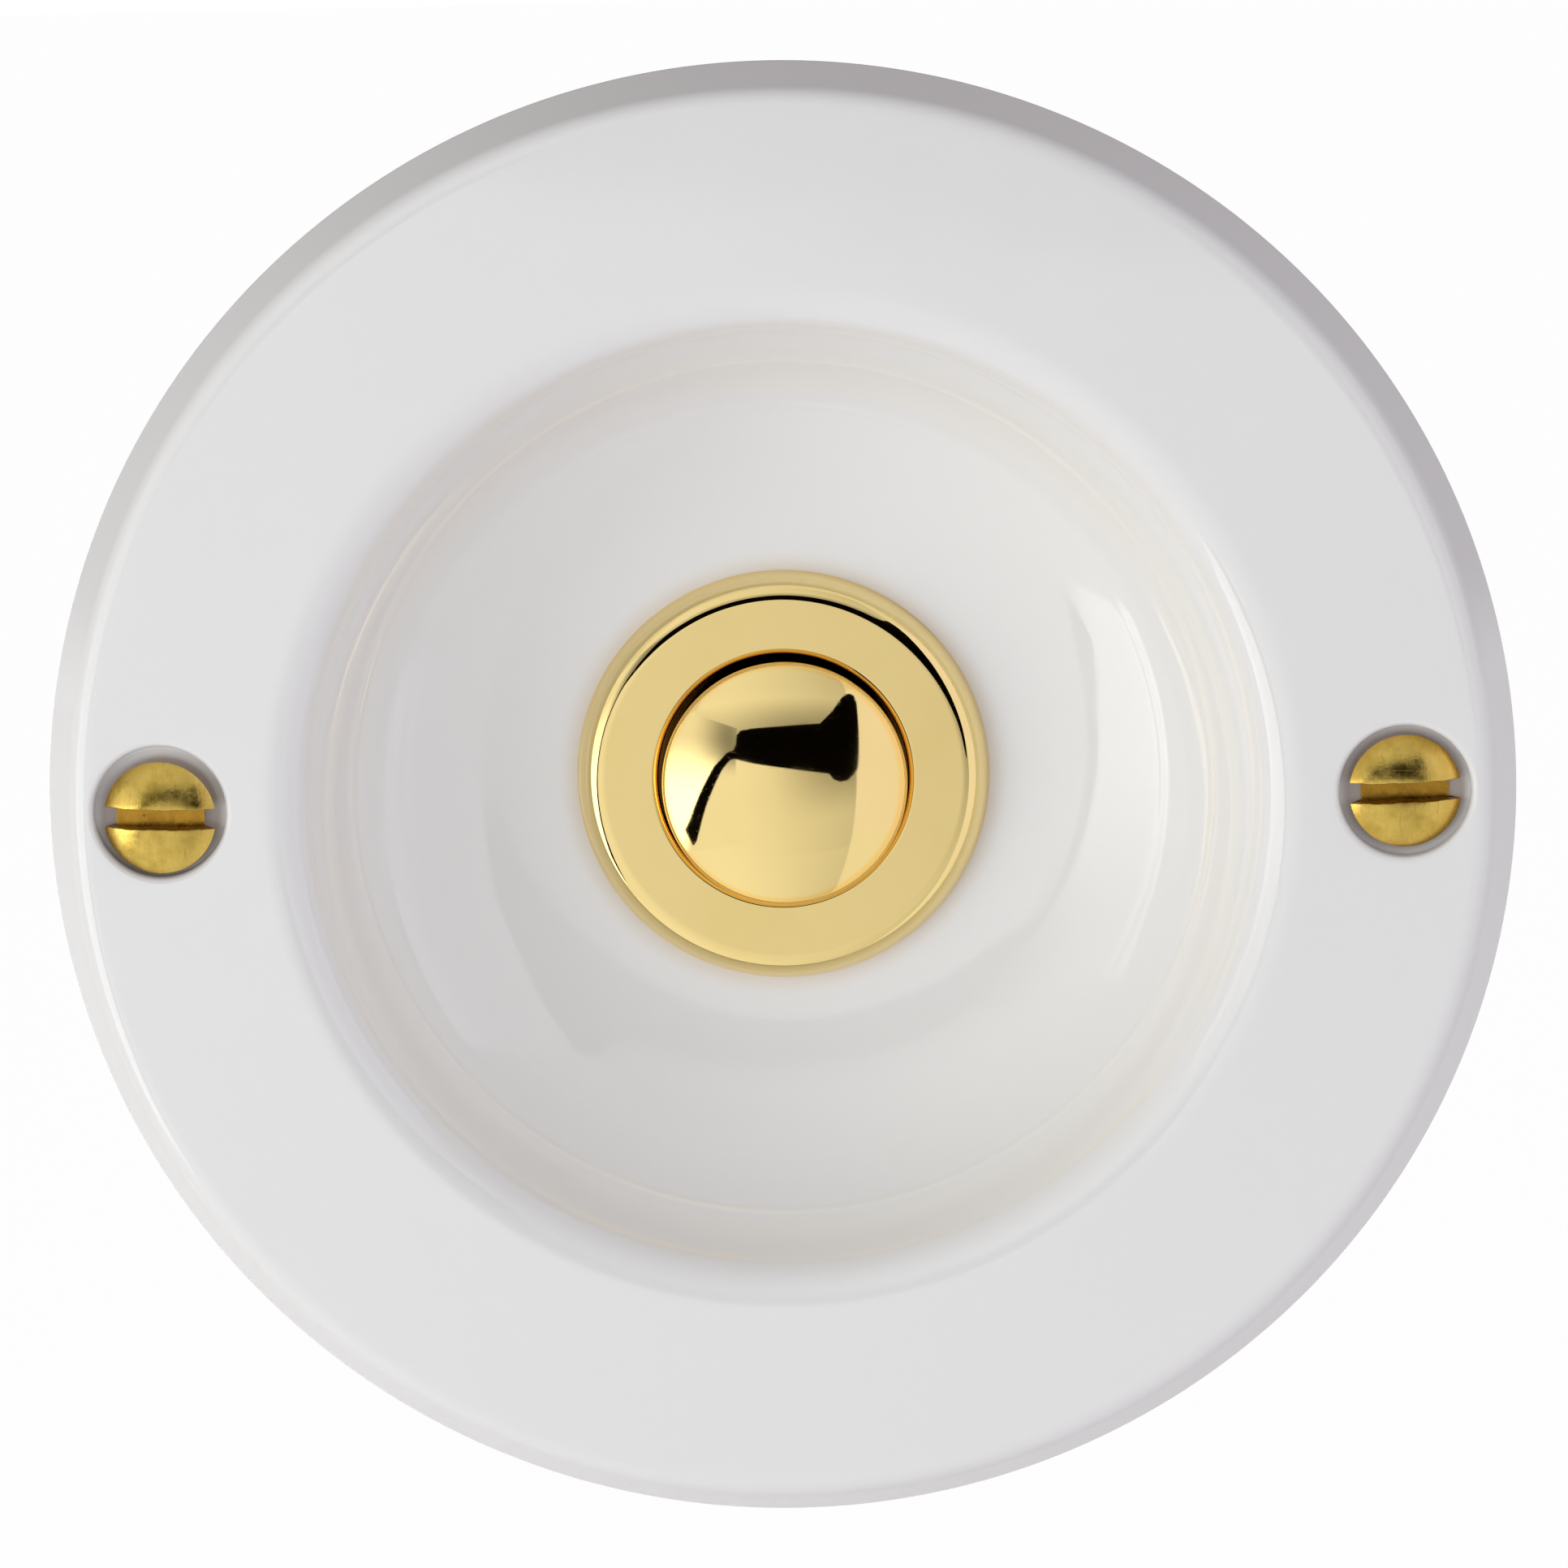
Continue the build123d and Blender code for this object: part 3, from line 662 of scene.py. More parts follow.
# Painted reflection: the button's rounded edge and the bore's lip are painted a deeper orange, for
# the brass mirrored in the brass.
lip_reflection = product(
    tree,
    ramp(tree, out_r, bore_r - lip_reflection_start, bore_r - lip_reflection_full, 0.0, 1.0),
    ramp(tree, out_r, bore_r, bore_r + lip_reflection_width, 1.0, 0.0),
)
# Painted sheen: the bezel's outer flank is painted a paler, brighter brass.
outer_sheen = ramp(tree, out_r, bezel_r - sheen_start, bezel_r - sheen_full, 0.0, 1.0)
# Painted shade: the brass darkens to near black deep in the gap between the button and the bore.
in_gap = product(
    tree,
    ramp(tree, depth, bezel_face_y + gap_shade_start, bezel_face_y + gap_shade_full, 0.0, 1.0),
    calculate(tree, "COMPARE", out_r, bore_r, gap_reach),
)
brass = blend_colours(tree, clouds, brass_bright, brass_deep)
brass = blend_colours(tree, outer_sheen, brass, brass_painted_sheen)
brass = blend_colours(tree, lip_reflection, brass, brass_painted_reflection)
feed(
    tree,
    shader,
    blend_colours(tree, in_gap, brass, gap_painted_shade),
    calculate(tree, "MULTIPLY_ADD", hairs, 0.05, smear),
    calculate(tree, "MULTIPLY_ADD", hairs, -0.4, rings),
    polish_relief,
)
bezel.data.materials.append(polished_brass)
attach(bezel, "plate")
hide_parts("bezel_sleeve")


# Fibre washer: a red-brown ring punched from pressed fibre sheet. It lies between the porcelain and
# the nut, and keeps the nut from biting the glaze.
fibre_red = (0.26, 0.062, 0.036, 1.0)
fibre_worn = (0.40, 0.16, 0.10, 1.0)
fibre_relief = 0.03 * mm
fibre, tree, shader, place = new_material("fibre", {"Specular IOR Level": 0.3})
felted = add(tree, "ShaderNodeMapping", {"Vector": place, "Scale": (0.25, 1.0, 1.0)}).outputs[0]
strands = noise(tree, felted, 3800.0, 5.0, 0.65)
stains = noise(tree, place, 170.0, 3.0)
worn = ramp(tree, calculate(tree, "MULTIPLY_ADD", stains, 0.5, strands), 0.6, 1.0, 0.0, 1.0)
feed(
    tree,
    shader,
    blend_colours(tree, worn, fibre_red, fibre_worn),
    ramp(tree, strands, 0.3, 0.7, 0.55, 0.8),
    strands,
    fibre_relief,
)
dress("fibre_washer", fibre)


# Ring nut: a thin hexagon nut, parted off brass hexagon bar with both faces chamfered, that draws
# the bezel down on the dish from behind. It is left as turned.
brass_turned = (0.74, 0.535, 0.215, 1.0)
brass_toned = (0.47, 0.30, 0.10, 1.0)
turning_relief = 0.006 * mm
nut_edge = 0.12 * mm


def turned_brass_about(name, axis_x):
    """Brass as it leaves the lathe: rings round its axis, light toning and a few hair scratches."""
    made, tree, shader, place = new_material(name, {"Metallic": 1.0})
    toned = ramp(tree, noise(tree, place, 260.0, 5.0, 0.6), 0.42, 0.72, 0.0, 0.85)
    hairs = hair_scratches(tree, place, 6000.0)
    rings = turning_marks(tree, place, axis_x, 5200.0)
    feed(
        tree,
        shader,
        blend_colours(tree, toned, brass_turned, brass_toned),
        calculate(tree, "MULTIPLY_ADD", toned, 0.2, ramp(tree, rings, 0.3, 0.7, 0.16, 0.32)),
        calculate(tree, "MULTIPLY_ADD", hairs, -0.3, rings),
        turning_relief,
    )
    return made


turned_brass = turned_brass_about("turned_brass", 0.0)
dress("ring_nut", turned_brass, nut_edge)


# Push button: a domed brass button with a stop collar, turned and polished, that slides in the
# sleeve. It hangs a little low and to the right in its bore, and is the piece a finger presses.
button_low, button_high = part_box("push_button")
button_r = 7.2 * mm
button_edge_round = 0.42 * mm
button_hang = Vector((0.085 * mm, 0.0, -0.085 * mm))
hang_clear_of_collar = 0.5 * mm
button_dome_rise = 1.75 * mm
button_sides = 192
collar_thickness = 1.35 * mm
collar_r = button_high.x
collar_back_y = button_high.y
collar_front_y = collar_back_y - collar_thickness
socket_r = 2.53 * mm
socket_floor_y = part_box("contact_bush")[0].y
dome_radius = (button_r**2 + button_dome_rise**2) / (2 * button_dome_rise)
dome_centre_y = button_low.y + dome_radius
edge_centre_r = button_r - button_edge_round
edge_centre_y = dome_centre_y - sqrt((dome_radius - button_edge_round) ** 2 - edge_centre_r**2)
edge_angle = degrees(atan2(edge_centre_y - dome_centre_y, edge_centre_r))
button_profile = arc((0.0, dome_centre_y), dome_radius, -90.0, edge_angle, 0.7)
button_profile += arc((edge_centre_r, edge_centre_y), button_edge_round, edge_angle, 0.0, 4.0)
button_profile += straight((button_r, edge_centre_y), (button_r, collar_front_y))
button_profile += [
    (collar_r, collar_front_y),
    (collar_r, collar_back_y),
    (socket_r, collar_back_y),
    (socket_r, socket_floor_y),
    (0.0, socket_floor_y),
]
button_mesh = bmesh.new()
turn_profile(button_mesh, button_profile, even_angles(button_sides))
for point in button_mesh.verts:
    if point.co.y < collar_front_y - hang_clear_of_collar:
        point.co += button_hang
button = make_piece(button_mesh, "push_button_domed")
button.data.materials.append(polished_brass)
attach(button, "button")
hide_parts("push_button")


# Moving contact: a moulded bush pressed into the button carries a springy bronze bridge, held by
# one small pan-head screw. The bush keeps the bell's current out of the button.
phenolic_dark = (0.030, 0.017, 0.012, 1.0)
phenolic_flour = (0.085, 0.045, 0.026, 1.0)
phenolic_relief = 0.012 * mm
phenolic, tree, shader, place = new_material("phenolic", {"IOR": 1.6})
flow = noise(tree, place, 420.0, 4.0, 0.6)
flour = ramp(tree, noise(tree, place, 3400.0, 2.0), 0.56, 0.68, 0.0, 0.8)
floury = product(tree, flour, ramp(tree, flow, 0.35, 0.7, 0.2, 1.0))
feed(
    tree,
    shader,
    blend_colours(tree, floury, phenolic_dark, phenolic_flour),
    ramp(tree, flow, 0.3, 0.7, 0.2, 0.38),
    calculate(tree, "MULTIPLY_ADD", flour, 0.3, flow),
    phenolic_relief,
)
bronze_bright = (0.70, 0.42, 0.22, 1.0)
bronze_toned = (0.38, 0.20, 0.11, 1.0)
rolling_relief = 0.006 * mm
contact_bronze, tree, shader, place = new_material("contact_bronze", {"Metallic": 1.0})
rolled = add(tree, "ShaderNodeMapping", {"Vector": place, "Scale": (0.04, 1.0, 1.0)}).outputs[0]
rolling = noise(tree, rolled, 5200.0, 3.0)
toned = ramp(tree, noise(tree, place, 480.0, 4.0), 0.42, 0.72, 0.0, 0.9)
feed(
    tree,
    shader,
    blend_colours(tree, toned, bronze_bright, bronze_toned),
    calculate(tree, "MULTIPLY_ADD", toned, 0.2, ramp(tree, rolling, 0.3, 0.7, 0.2, 0.36)),
    rolling,
    rolling_relief,
)
dress("contact_bush", phenolic)
dress("contact_bridge", contact_bronze)
dress("bridge_screw", turned_brass)


# Return spring: round steel wire wound between the button's collar and the groove in the base.
# It pushes the button back out, and shortens as the button goes in.
spring_low, spring_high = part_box("return_spring")
wire_r = 0.35 * mm
coil_r = 6.6 * mm
spring_pitch = 1.6 * mm
wire_sides = 14
steps_per_turn = 72
wire_start_y = spring_low.y + wire_r
wire_end_y = spring_high.y - wire_r
wire_run = wire_end_y - wire_start_y
wire_turns = wire_run / spring_pitch
wire_steps = ceil(wire_turns * steps_per_turn)
spring_mesh = bmesh.new()
wire_rings = []
for step in range(wire_steps + 1):
    share = step / wire_steps
    turn = 2 * pi * wire_turns * share
    outward = Vector((cos(turn), 0.0, -sin(turn)))
    along = Vector((-sin(turn), spring_pitch / (2 * pi * coil_r), -cos(turn))).normalized()
    sideways = outward.cross(along)
    middle = outward * coil_r + Vector((0.0, wire_start_y + wire_run * share, 0.0))
    wire_rings.append(
        [
            spring_mesh.verts.new(middle + (outward * cos(a) + sideways * sin(a)) * wire_r)
            for a in even_angles(wire_sides)
        ]
    )
join_rings(spring_mesh, wire_rings)
spring_mesh.faces.new(wire_rings[0])
spring_mesh.faces.new(wire_rings[-1])
spring = make_piece(spring_mesh, "return_spring_wound")
steel_bright = (0.56, 0.56, 0.57, 1.0)
steel_dull = (0.33, 0.32, 0.31, 1.0)
drawing_relief = 0.004 * mm
spring_steel, tree, shader, place = new_material("spring_steel", {"Metallic": 1.0})
dulled = ramp(tree, noise(tree, place, 700.0, 4.0), 0.4, 0.75, 0.0, 0.9)
drawn = turning_marks(tree, place, 0.0, 9000.0)
feed(
    tree,
    shader,
    blend_colours(tree, dulled, steel_bright, steel_dull),
    calculate(tree, "MULTIPLY_ADD", dulled, 0.2, ramp(tree, drawn, 0.3, 0.7, 0.18, 0.34)),
    drawn,
    drawing_relief,
)
spring.data.materials.append(spring_steel)
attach(spring, "plate")
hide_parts("return_spring")
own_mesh(spring)


# Contact base and circlip: the base is a brown-black moulding that carries the two fixed contacts,
# and the circlip is a blued spring-steel ring that holds it in the barrel.
moulded_edge = 0.12 * mm
dress("contact_base", phenolic, moulded_edge)
blued_dark = (0.035, 0.040, 0.055, 1.0)
blued_brown = (0.10, 0.075, 0.06, 1.0)
blued_relief = 0.004 * mm
blued_steel, tree, shader, place = new_material("blued_steel", {"Metallic": 0.9})
heat = ramp(tree, noise(tree, place, 340.0, 4.0), 0.4, 0.7, 0.0, 1.0)
hairs = hair_scratches(tree, place, 7000.0)
feed(
    tree,
    shader,
    blend_colours(tree, heat, blued_dark, blued_brown),
    calculate(tree, "MULTIPLY_ADD", hairs, -0.08, ramp(tree, heat, 0.0, 1.0, 0.3, 0.42)),
    calculate(tree, "MULTIPLY_ADD", hairs, -0.5, heat),
    blued_relief,
)
dress("base_circlip", blued_steel)


# Posts and terminals: two turned brass posts with a square plate and a slotted cheese-head screw
# each, which clamp the ends of the bell wire behind the base.
cheese_head_edge = 0.09 * mm
for side in ("left", "right"):
    post_x = axis_of(f"contact_post_{side}")[0]
    terminal_brass = turned_brass_about(f"turned_brass_{side}", post_x)
    dress(f"contact_post_{side}", terminal_brass)
    dress(f"clamp_plate_{side}", terminal_brass)
    dress(f"terminal_screw_{side}", terminal_brass, cheese_head_edge)


# Fixing screws: slotted raised countersunk wood screws of plain brass, with a thin rolled shank and
# a sharp coarse thread. The driver has scuffed their heads, and they have dulled.
head_r = 3.25 * mm
head_dome = 0.9 * mm
shank_r = 1.3 * mm
screw_length = 30.0 * mm
slot_half = 0.575 * mm
slot_floor = 0.7 * mm
slot_edge_round = 0.06 * mm
slot_raggedness = 0.016 * mm
torn_width = 0.25 * mm
long_tears, middle_tears, short_tears = 3100.0, 7300.0, 16900.0
head_outer_rows = 18
crest_flat_r = 0.6 * mm
crest_places = {"left": (0.40 * mm, 0.05 * mm), "right": (-0.28 * mm, 0.0)}
nib_height = 0.08 * mm
nib_r = 0.45 * mm
wood_pitch = 1.5 * mm
wood_crest_r = 1.75 * mm
wood_root_r = 1.15 * mm
wood_ridge = [(0.0, 0.0), (0.55, 0.0), (0.76, 1.0), (0.80, 1.0)]
shank_run_out = 0.3 * mm
tip_length = 5.0 * mm
slot_turns = {"left": -1.5, "right": 1.1}
dome_sphere_r = ((head_r - crest_flat_r) ** 2 + head_dome**2) / (2 * head_dome)


def head_sag(r):
    """How far the dome lies behind its nib, at a distance from the crest's middle."""
    out = max(r - crest_flat_r, 0.0)
    nib = nib_height * (1.0 - exp(-((r / nib_r) ** 2)))
    return dome_sphere_r - sqrt(dome_sphere_r**2 - out**2) + nib


def ragged(u, side):
    """How far a slot's edge strays where the driver has torn it."""
    wave = sin(long_tears * u / side + 4.0 * side)
    wave += 0.7 * sin(middle_tears * u + side) + 0.5 * sin(short_tears * u)
    return slot_raggedness * wave


def head_rows():
    """Lines along a slotted head: (distance from the slot's middle, depth below the dome).

    On the slot's floor the depth is None."""
    rounding = [radians(a) for a in (0.0, 22.5, 45.0, 67.5, 90.0)]
    half = [(0.0, None), (slot_half * 0.5, None), (slot_half - 2 * slot_edge_round, None)]
    half += [(slot_half - 0.5 * slot_edge_round, None)]
    wall = [
        (slot_half + slot_edge_round * (1 - cos(a)), slot_edge_round * (1 - sin(a)))
        for a in rounding
    ]
    first_angle = atan2(wall[-1][0], sqrt(head_r**2 - wall[-1][0] ** 2))
    outer = [
        (head_r * sin(first_angle + (pi / 2 - first_angle) * i / head_outer_rows), 0.0)
        for i in range(1, head_outer_rows + 1)
    ]
    half += wall + outer
    return [(-v, drop) for v, drop in reversed(half[1:])] + half


def slotted_head(bm, x, z, edge_y, turn, crest, columns=72):
    """The top of a slotted raised head, in lines along the slot; returns its rim's points."""
    floor_r = head_r - slot_floor
    rows = []
    for v, drop in head_rows():
        side_r = floor_r if drop is None else head_r - drop
        reach = sqrt(max(side_r**2 - v**2, 0.0))
        near_slot = exp(-(((abs(v) - slot_half) / torn_width) ** 2))
        row = []
        for i in range(columns + 1):
            u = -reach * cos(pi * i / columns)
            inside = 1.0 - (u / reach) ** 8 if reach > 0.0 else 0.0
            torn = v + ragged(u, 1.0 if v > 0 else -1.3) * near_slot * inside
            y = edge_y - head_dome + head_sag(sqrt((u - crest[0]) ** 2 + (v - crest[1]) ** 2))
            y = edge_y + slot_floor if drop is None else y + drop
            turned_u = u * cos(turn) - torn * sin(turn)
            turned_v = u * sin(turn) + torn * cos(turn)
            row.append(bm.verts.new(Vector((turned_u, 0.0, turned_v)) + Vector((x, y, z))))
        rows.append(row)
    for near, far in zip(rows, rows[1:]):
        for i in range(columns):
            bm.faces.new((near[i], near[i + 1], far[i + 1], far[i]))
    return [row[-1] for row in rows] + [row[0] for row in reversed(rows[1:-1])]


brass_scuffed = (0.56, 0.395, 0.092, 1.0)
brass_dulled = (0.38, 0.255, 0.045, 1.0)
brass_grime = (0.10, 0.065, 0.015, 1.0)
brass_painted_slot_shade = (0.40, 0.215, 0.028, 1.0)
pit_share = 0.14
slot_shade_reach = 0.5 * mm
scuff_relief = 0.016 * mm
head_edge_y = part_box("fixing_screw_right")[1].y - screw_length
screw_brass, tree, shader, place = new_material("screw_brass", {"Metallic": 1.0})
dulled = ramp(tree, noise(tree, place, 620.0, 6.0, 0.6), 0.40, 0.68, 0.0, 0.8)
hairs = hair_scratches(tree, place, 4200.0)
dents = noise(tree, place, 1500.0, 4.0, 0.6)
brushed = add(tree, "ShaderNodeMapping", {"Vector": place, "Scale": (1.0, 0.3, 0.10)}).outputs[0]
streaks = noise(tree, brushed, 7500.0, 2.0)
dulled = calculate(tree, "MAXIMUM", dulled, ramp(tree, streaks, 0.55, 0.75, 0.0, 0.6))
gold = blend_colours(tree, dulled, brass_scuffed, brass_dulled)
pits = add(tree, "ShaderNodeTexVoronoi", {"Vector": place, "Scale": 1300.0})
chosen = calculate(tree, "LESS_THAN", pits.outputs["Color"], pit_share)
small = ramp(tree, pits.outputs["Distance"], 0.05, 0.16, 0.8, 0.0)
pitted = product(tree, chosen, small)
depth = split(tree, place)["Y"]
# Painted shade and reflection: the brass turns darker and more orange deeper in the head, towards
# its rim and on the slot's floor.
slot_shaded = ramp(
    tree, depth, head_edge_y - slot_shade_reach, head_edge_y + slot_shade_reach, 0.0, 1.0
)
gold = blend_colours(tree, slot_shaded, gold, brass_painted_slot_shade)
scuffs = calculate(tree, "MULTIPLY_ADD", streaks, 0.25, dents)
feed(
    tree,
    shader,
    blend_colours(tree, pitted, gold, brass_grime),
    calculate(tree, "MULTIPLY_ADD", hairs, 0.1, ramp(tree, dents, 0.3, 0.7, 0.17, 0.32)),
    calculate(tree, "MULTIPLY_ADD", pitted, -0.5, scuffs),
    scuff_relief,
)
for side in ("left", "right"):
    screw_x, screw_z = axis_of(f"fixing_screw_{side}")
    point_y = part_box(f"fixing_screw_{side}")[1].y
    edge_y = point_y - screw_length
    screw_mesh = bmesh.new()
    rim = slotted_head(
        screw_mesh, screw_x, screw_z, edge_y, radians(slot_turns[side]), crest_places[side]
    )
    angles = []
    for point in rim:
        angle = atan2(point.co.z - screw_z, point.co.x - screw_x)
        angles.append(angle if not angles or angle > angles[-1] else angle + 2 * pi)
    head_end_y = edge_y + head_r - shank_r
    neck = [
        screw_mesh.verts.new((screw_x + shank_r * cos(a), head_end_y, screw_z + shank_r * sin(a)))
        for a in angles
    ]
    join_rings(screw_mesh, [rim, neck])
    neck_profile = [(shank_r, head_end_y), (shank_r, -shank_run_out), (wood_root_r, 0.0)]
    turn_profile(screw_mesh, neck_profile, angles, screw_x, screw_z)
    thread_run(
        screw_mesh,
        angles,
        0.0,
        point_y,
        wood_pitch,
        wood_ridge,
        lambda y: wood_root_r * min(1.0, (point_y - y) / tip_length),
        lambda y: wood_crest_r * min(1.0, (point_y - y) / tip_length),
        screw_x,
        screw_z,
    )
    screw = make_piece(screw_mesh, f"fixing_screw_{side}_slotted")
    screw.data.materials.append(screw_brass)
    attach(screw, "plate")
    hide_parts(f"fixing_screw_{side}")


# Floor and light: a pale floor well below the part, a side window, a tall soft light from the left
# and a weaker one from the right. White cards and a dark lamp stand in front are there for the
# polished brass to mirror.
floor_z = -0.42
floor_half = 8.0
floor_pale = (0.97, 0.97, 0.97, 1.0)
plain_white = (1.0, 1.0, 1.0, 1.0)
seen_gain = 0.14


def bare_material(name):
    """A material without nodes; returns it and its tree."""
    made = bpy.data.materials.new(name)
    made.use_nodes = True
    made.node_tree.nodes.clear()
    return made, made.node_tree


def stage_material(name, colour, share, strength):
    """A matt material that glows in its own colour where it is seen, and still takes shadow."""
    made, tree = bare_material(name)
    path = tree.nodes.new("ShaderNodeLightPath").outputs
    seen = calculate(tree, "MAXIMUM", path["Is Camera Ray"], path["Is Glossy Ray"])
    seen = calculate(tree, "MAXIMUM", seen, path["Is Transmission Ray"])
    matt = add(tree, "ShaderNodeBsdfDiffuse", {"Color": colour})
    brighter = calculate(tree, "MULTIPLY_ADD", path["Is Camera Ray"], seen_gain, strength)
    glow = add(tree, "ShaderNodeEmission", {"Color": colour, "Strength": brighter})
    mixed = add(
        tree,
        "ShaderNodeMixShader",
        {0: product(tree, seen, share), 1: matt.outputs[0], 2: glow.outputs[0]},
    )
    add(tree, "ShaderNodeOutputMaterial", {"Surface": mixed.outputs[0]})
    return made


def stage_card(name, corners, finish, camera_sees):
    """A flat card of the stage."""
    bm = bmesh.new()
    bm.faces.new([bm.verts.new(corner) for corner in corners])
    mesh = bpy.data.meshes.new(name)
    bm.to_mesh(mesh)
    bm.free()
    mesh.materials.append(finish)
    card = put_in_scene(name, mesh)
    card.visible_camera = camera_sees
    return card


def card_corners(low_x, high_x, half_y):
    """Corners of a card that lies flat in its own frame."""
    outline = [(low_x, -half_y), (high_x, -half_y), (high_x, half_y), (low_x, half_y)]
    return [(x, y, 0.0) for x, y in outline]


pale_floor = stage_card(
    "pale_floor",
    card_corners(-floor_half, floor_half, floor_half),
    stage_material("pale_floor", floor_pale, share=0.72, strength=1.18),
    camera_sees=True,
)
pale_floor.location.z = floor_z


def soft_light(name, corners, colour, strength_over):
    """A glowing panel; strength_over gives its strength from the place on it."""
    made, tree = bare_material(name)
    place = add(tree, "ShaderNodeTexCoord", {}).outputs["Object"]
    strength = strength_over(tree, *split(tree, place))
    glow = add(tree, "ShaderNodeEmission", {"Color": colour, "Strength": strength})
    add(tree, "ShaderNodeOutputMaterial", {"Surface": glow.outputs[0]})
    return stage_card(name, corners, made, camera_sees=False)


def way_to(azimuth, elevation):
    """The way from the part to a place round it; the angles are in degrees from its front."""
    a, e = radians(azimuth), radians(elevation)
    return Vector((sin(a) * cos(e), -cos(a) * cos(e), sin(e)))


def aim(panel, azimuth, elevation, distance):
    """Stand a panel round the part, facing it."""
    away = way_to(azimuth, elevation)
    turn = (-away).to_track_quat("Z", "Y").to_matrix().to_4x4()
    panel.matrix_world = Matrix.Translation(away * distance) @ turn


def left_glow(tree, x, y, z):
    """Full beside and outside the stand's arm, fading towards the top and the stand's shoulder."""
    base, full = 1.16, 1.85
    arm_lean = 0.61
    shoulder_x, shoulder_y = -0.28, 0.14
    slant = calculate(tree, "MULTIPLY_ADD", y, arm_lean, x)
    inward = ramp(tree, slant, -0.16, -0.08, 0.0, 1.0)
    upward = ramp(tree, y, -0.04, 0.29, 1.0, 0.0)
    lit = product(tree, inward, upward)
    light = calculate(tree, "MULTIPLY_ADD", lit, full, base)
    light = calculate(tree, "ADD", light, ramp(tree, x, 0.14, 0.30, 0.0, 0.9))
    beside = calculate(tree, "SUBTRACT", x, shoulder_x)
    over = calculate(tree, "MULTIPLY_ADD", y, 0.5, -shoulder_y)
    shade = product(
        tree,
        ramp(tree, axis_distance(tree, beside, over), 0.0, 0.25, 0.70, 0.0),
        ramp(tree, y, 0.06, 0.20, 0.0, 1.0),
    )
    return product(tree, light, calculate(tree, "SUBTRACT", 1.0, shade))


def right_glow(tree, x, y, z):
    """Even, and brighter at the outer side."""
    return ramp(tree, x, -0.31, -0.06, 1.60, 1.13)


def front_glow(tree, x, y, z):
    """Falling from left to right, with the soft shade of the stand above and below it."""
    stand_low, stand_high = 0.05, 0.12
    below = product(
        tree, ramp(tree, z, -0.24, 0.0, 0.0, 1.0), ramp(tree, x, -0.10, 0.20, 0.0, 0.42)
    )
    below = product(tree, below, ramp(tree, z, stand_low, stand_high, 1.0, 0.0))
    above = product(
        tree, ramp(tree, z, 0.15, 0.34, 1.0, 0.0), ramp(tree, x, -0.31, 0.06, 0.3, 0.56)
    )
    above = product(tree, above, ramp(tree, z, stand_low, stand_high, 0.0, 1.0))
    above = calculate(tree, "MAXIMUM", above, ramp(tree, z, 0.20, 0.40, 0.0, 0.08))
    light = calculate(tree, "SUBTRACT", 1.0, calculate(tree, "MAXIMUM", below, above))
    return product(tree, light, ramp(tree, x, -0.36, 0.44, 1.22, 0.78))


def card_glow(tree, x, y, z):
    """Falling from left to right like the card behind it, and lit by the right panel."""
    sideways = calculate(tree, "DIVIDE", x, calculate(tree, "SUBTRACT", -floor_card_y, y))
    fallen = ramp(tree, sideways, -0.70, 0.85, 1.21, 0.84)
    return calculate(tree, "MAXIMUM", fallen, ramp(tree, sideways, 0.59, 0.62, 0.0, 1.11))


front_y = -0.50
front_outline = [
    (-0.198, -0.41), (0.305, -0.41), (0.305, 0.60), (-0.45, 0.60), (-0.45, 0.258), (-0.198, 0.165),
]
floor_card_y = -0.40
floor_card_lift = 0.005
mauve_white = (1.0, 0.975, 1.06, 1.0)
left_corners = card_corners(-0.36, 0.30, 0.42)
left_light = soft_light("left_soft_light", left_corners, plain_white, left_glow)
aim(left_light, azimuth=-47.0, elevation=-10.5, distance=0.65)
right_corners = card_corners(-0.31, 0.31, 0.43)
right_light = soft_light("right_soft_light", right_corners, mauve_white, right_glow)
aim(right_light, azimuth=55.0, elevation=2.0, distance=0.70)
front_corners = [(x, front_y, z) for x, z in front_outline]
front_card = soft_light("front_card", front_corners, plain_white, front_glow)
front_card.visible_diffuse = False
front_card.visible_shadow = False
window = bpy.data.lights.new("side_window", "AREA")
window.shape = "DISK"
window.size = 0.30
window.energy = 0.335
window_light = put_in_scene("side_window", window)
window_light.visible_glossy = False
aim(window_light, azimuth=-56.0, elevation=12.0, distance=0.65)
window_light.matrix_world = window_light.matrix_world @ Matrix.Rotation(pi, 4, "Y")
floor_card = soft_light("white_card", card_corners(-0.6, 0.6, 0.35), plain_white, card_glow)
floor_card.location = (0.0, floor_card_y, floor_z + floor_card_lift)
floor_card.visible_diffuse = False
floor_card.visible_shadow = False

stand_y = -0.40
stand_outline = [
    (-0.147, 0.125), (-0.102, 0.130), (0.001, 0.135), (0.119, 0.143), (0.169, 0.190),
    (0.221, 0.253), (0.245, 0.271), (0.264, 0.277), (0.281, 0.268), (0.285, 0.234),
    (0.274, 0.158), (0.255, 0.013), (0.250, -0.014), (0.234, -0.032), (0.208, -0.051),
    (0.178, -0.053), (0.155, -0.043), (0.139, -0.023), (0.022, -0.003), (-0.100, 0.016),
    (-0.163, 0.030), (-0.180, 0.027), (-0.210, -0.005), (-0.242, -0.058), (-0.292, -0.146),
    (-0.352, -0.264), (-0.392, -0.338), (-0.425, -0.378), (-0.465, -0.392), (-0.492, -0.362),
    (-0.474, -0.322), (-0.396, -0.224), (-0.306, -0.084), (-0.244, 0.004), (-0.214, 0.031),
    (-0.193, 0.051), (-0.169, 0.059), (-0.161, 0.077), (-0.159, 0.110),
]
stand_black = (0.006, 0.005, 0.004, 1.0)
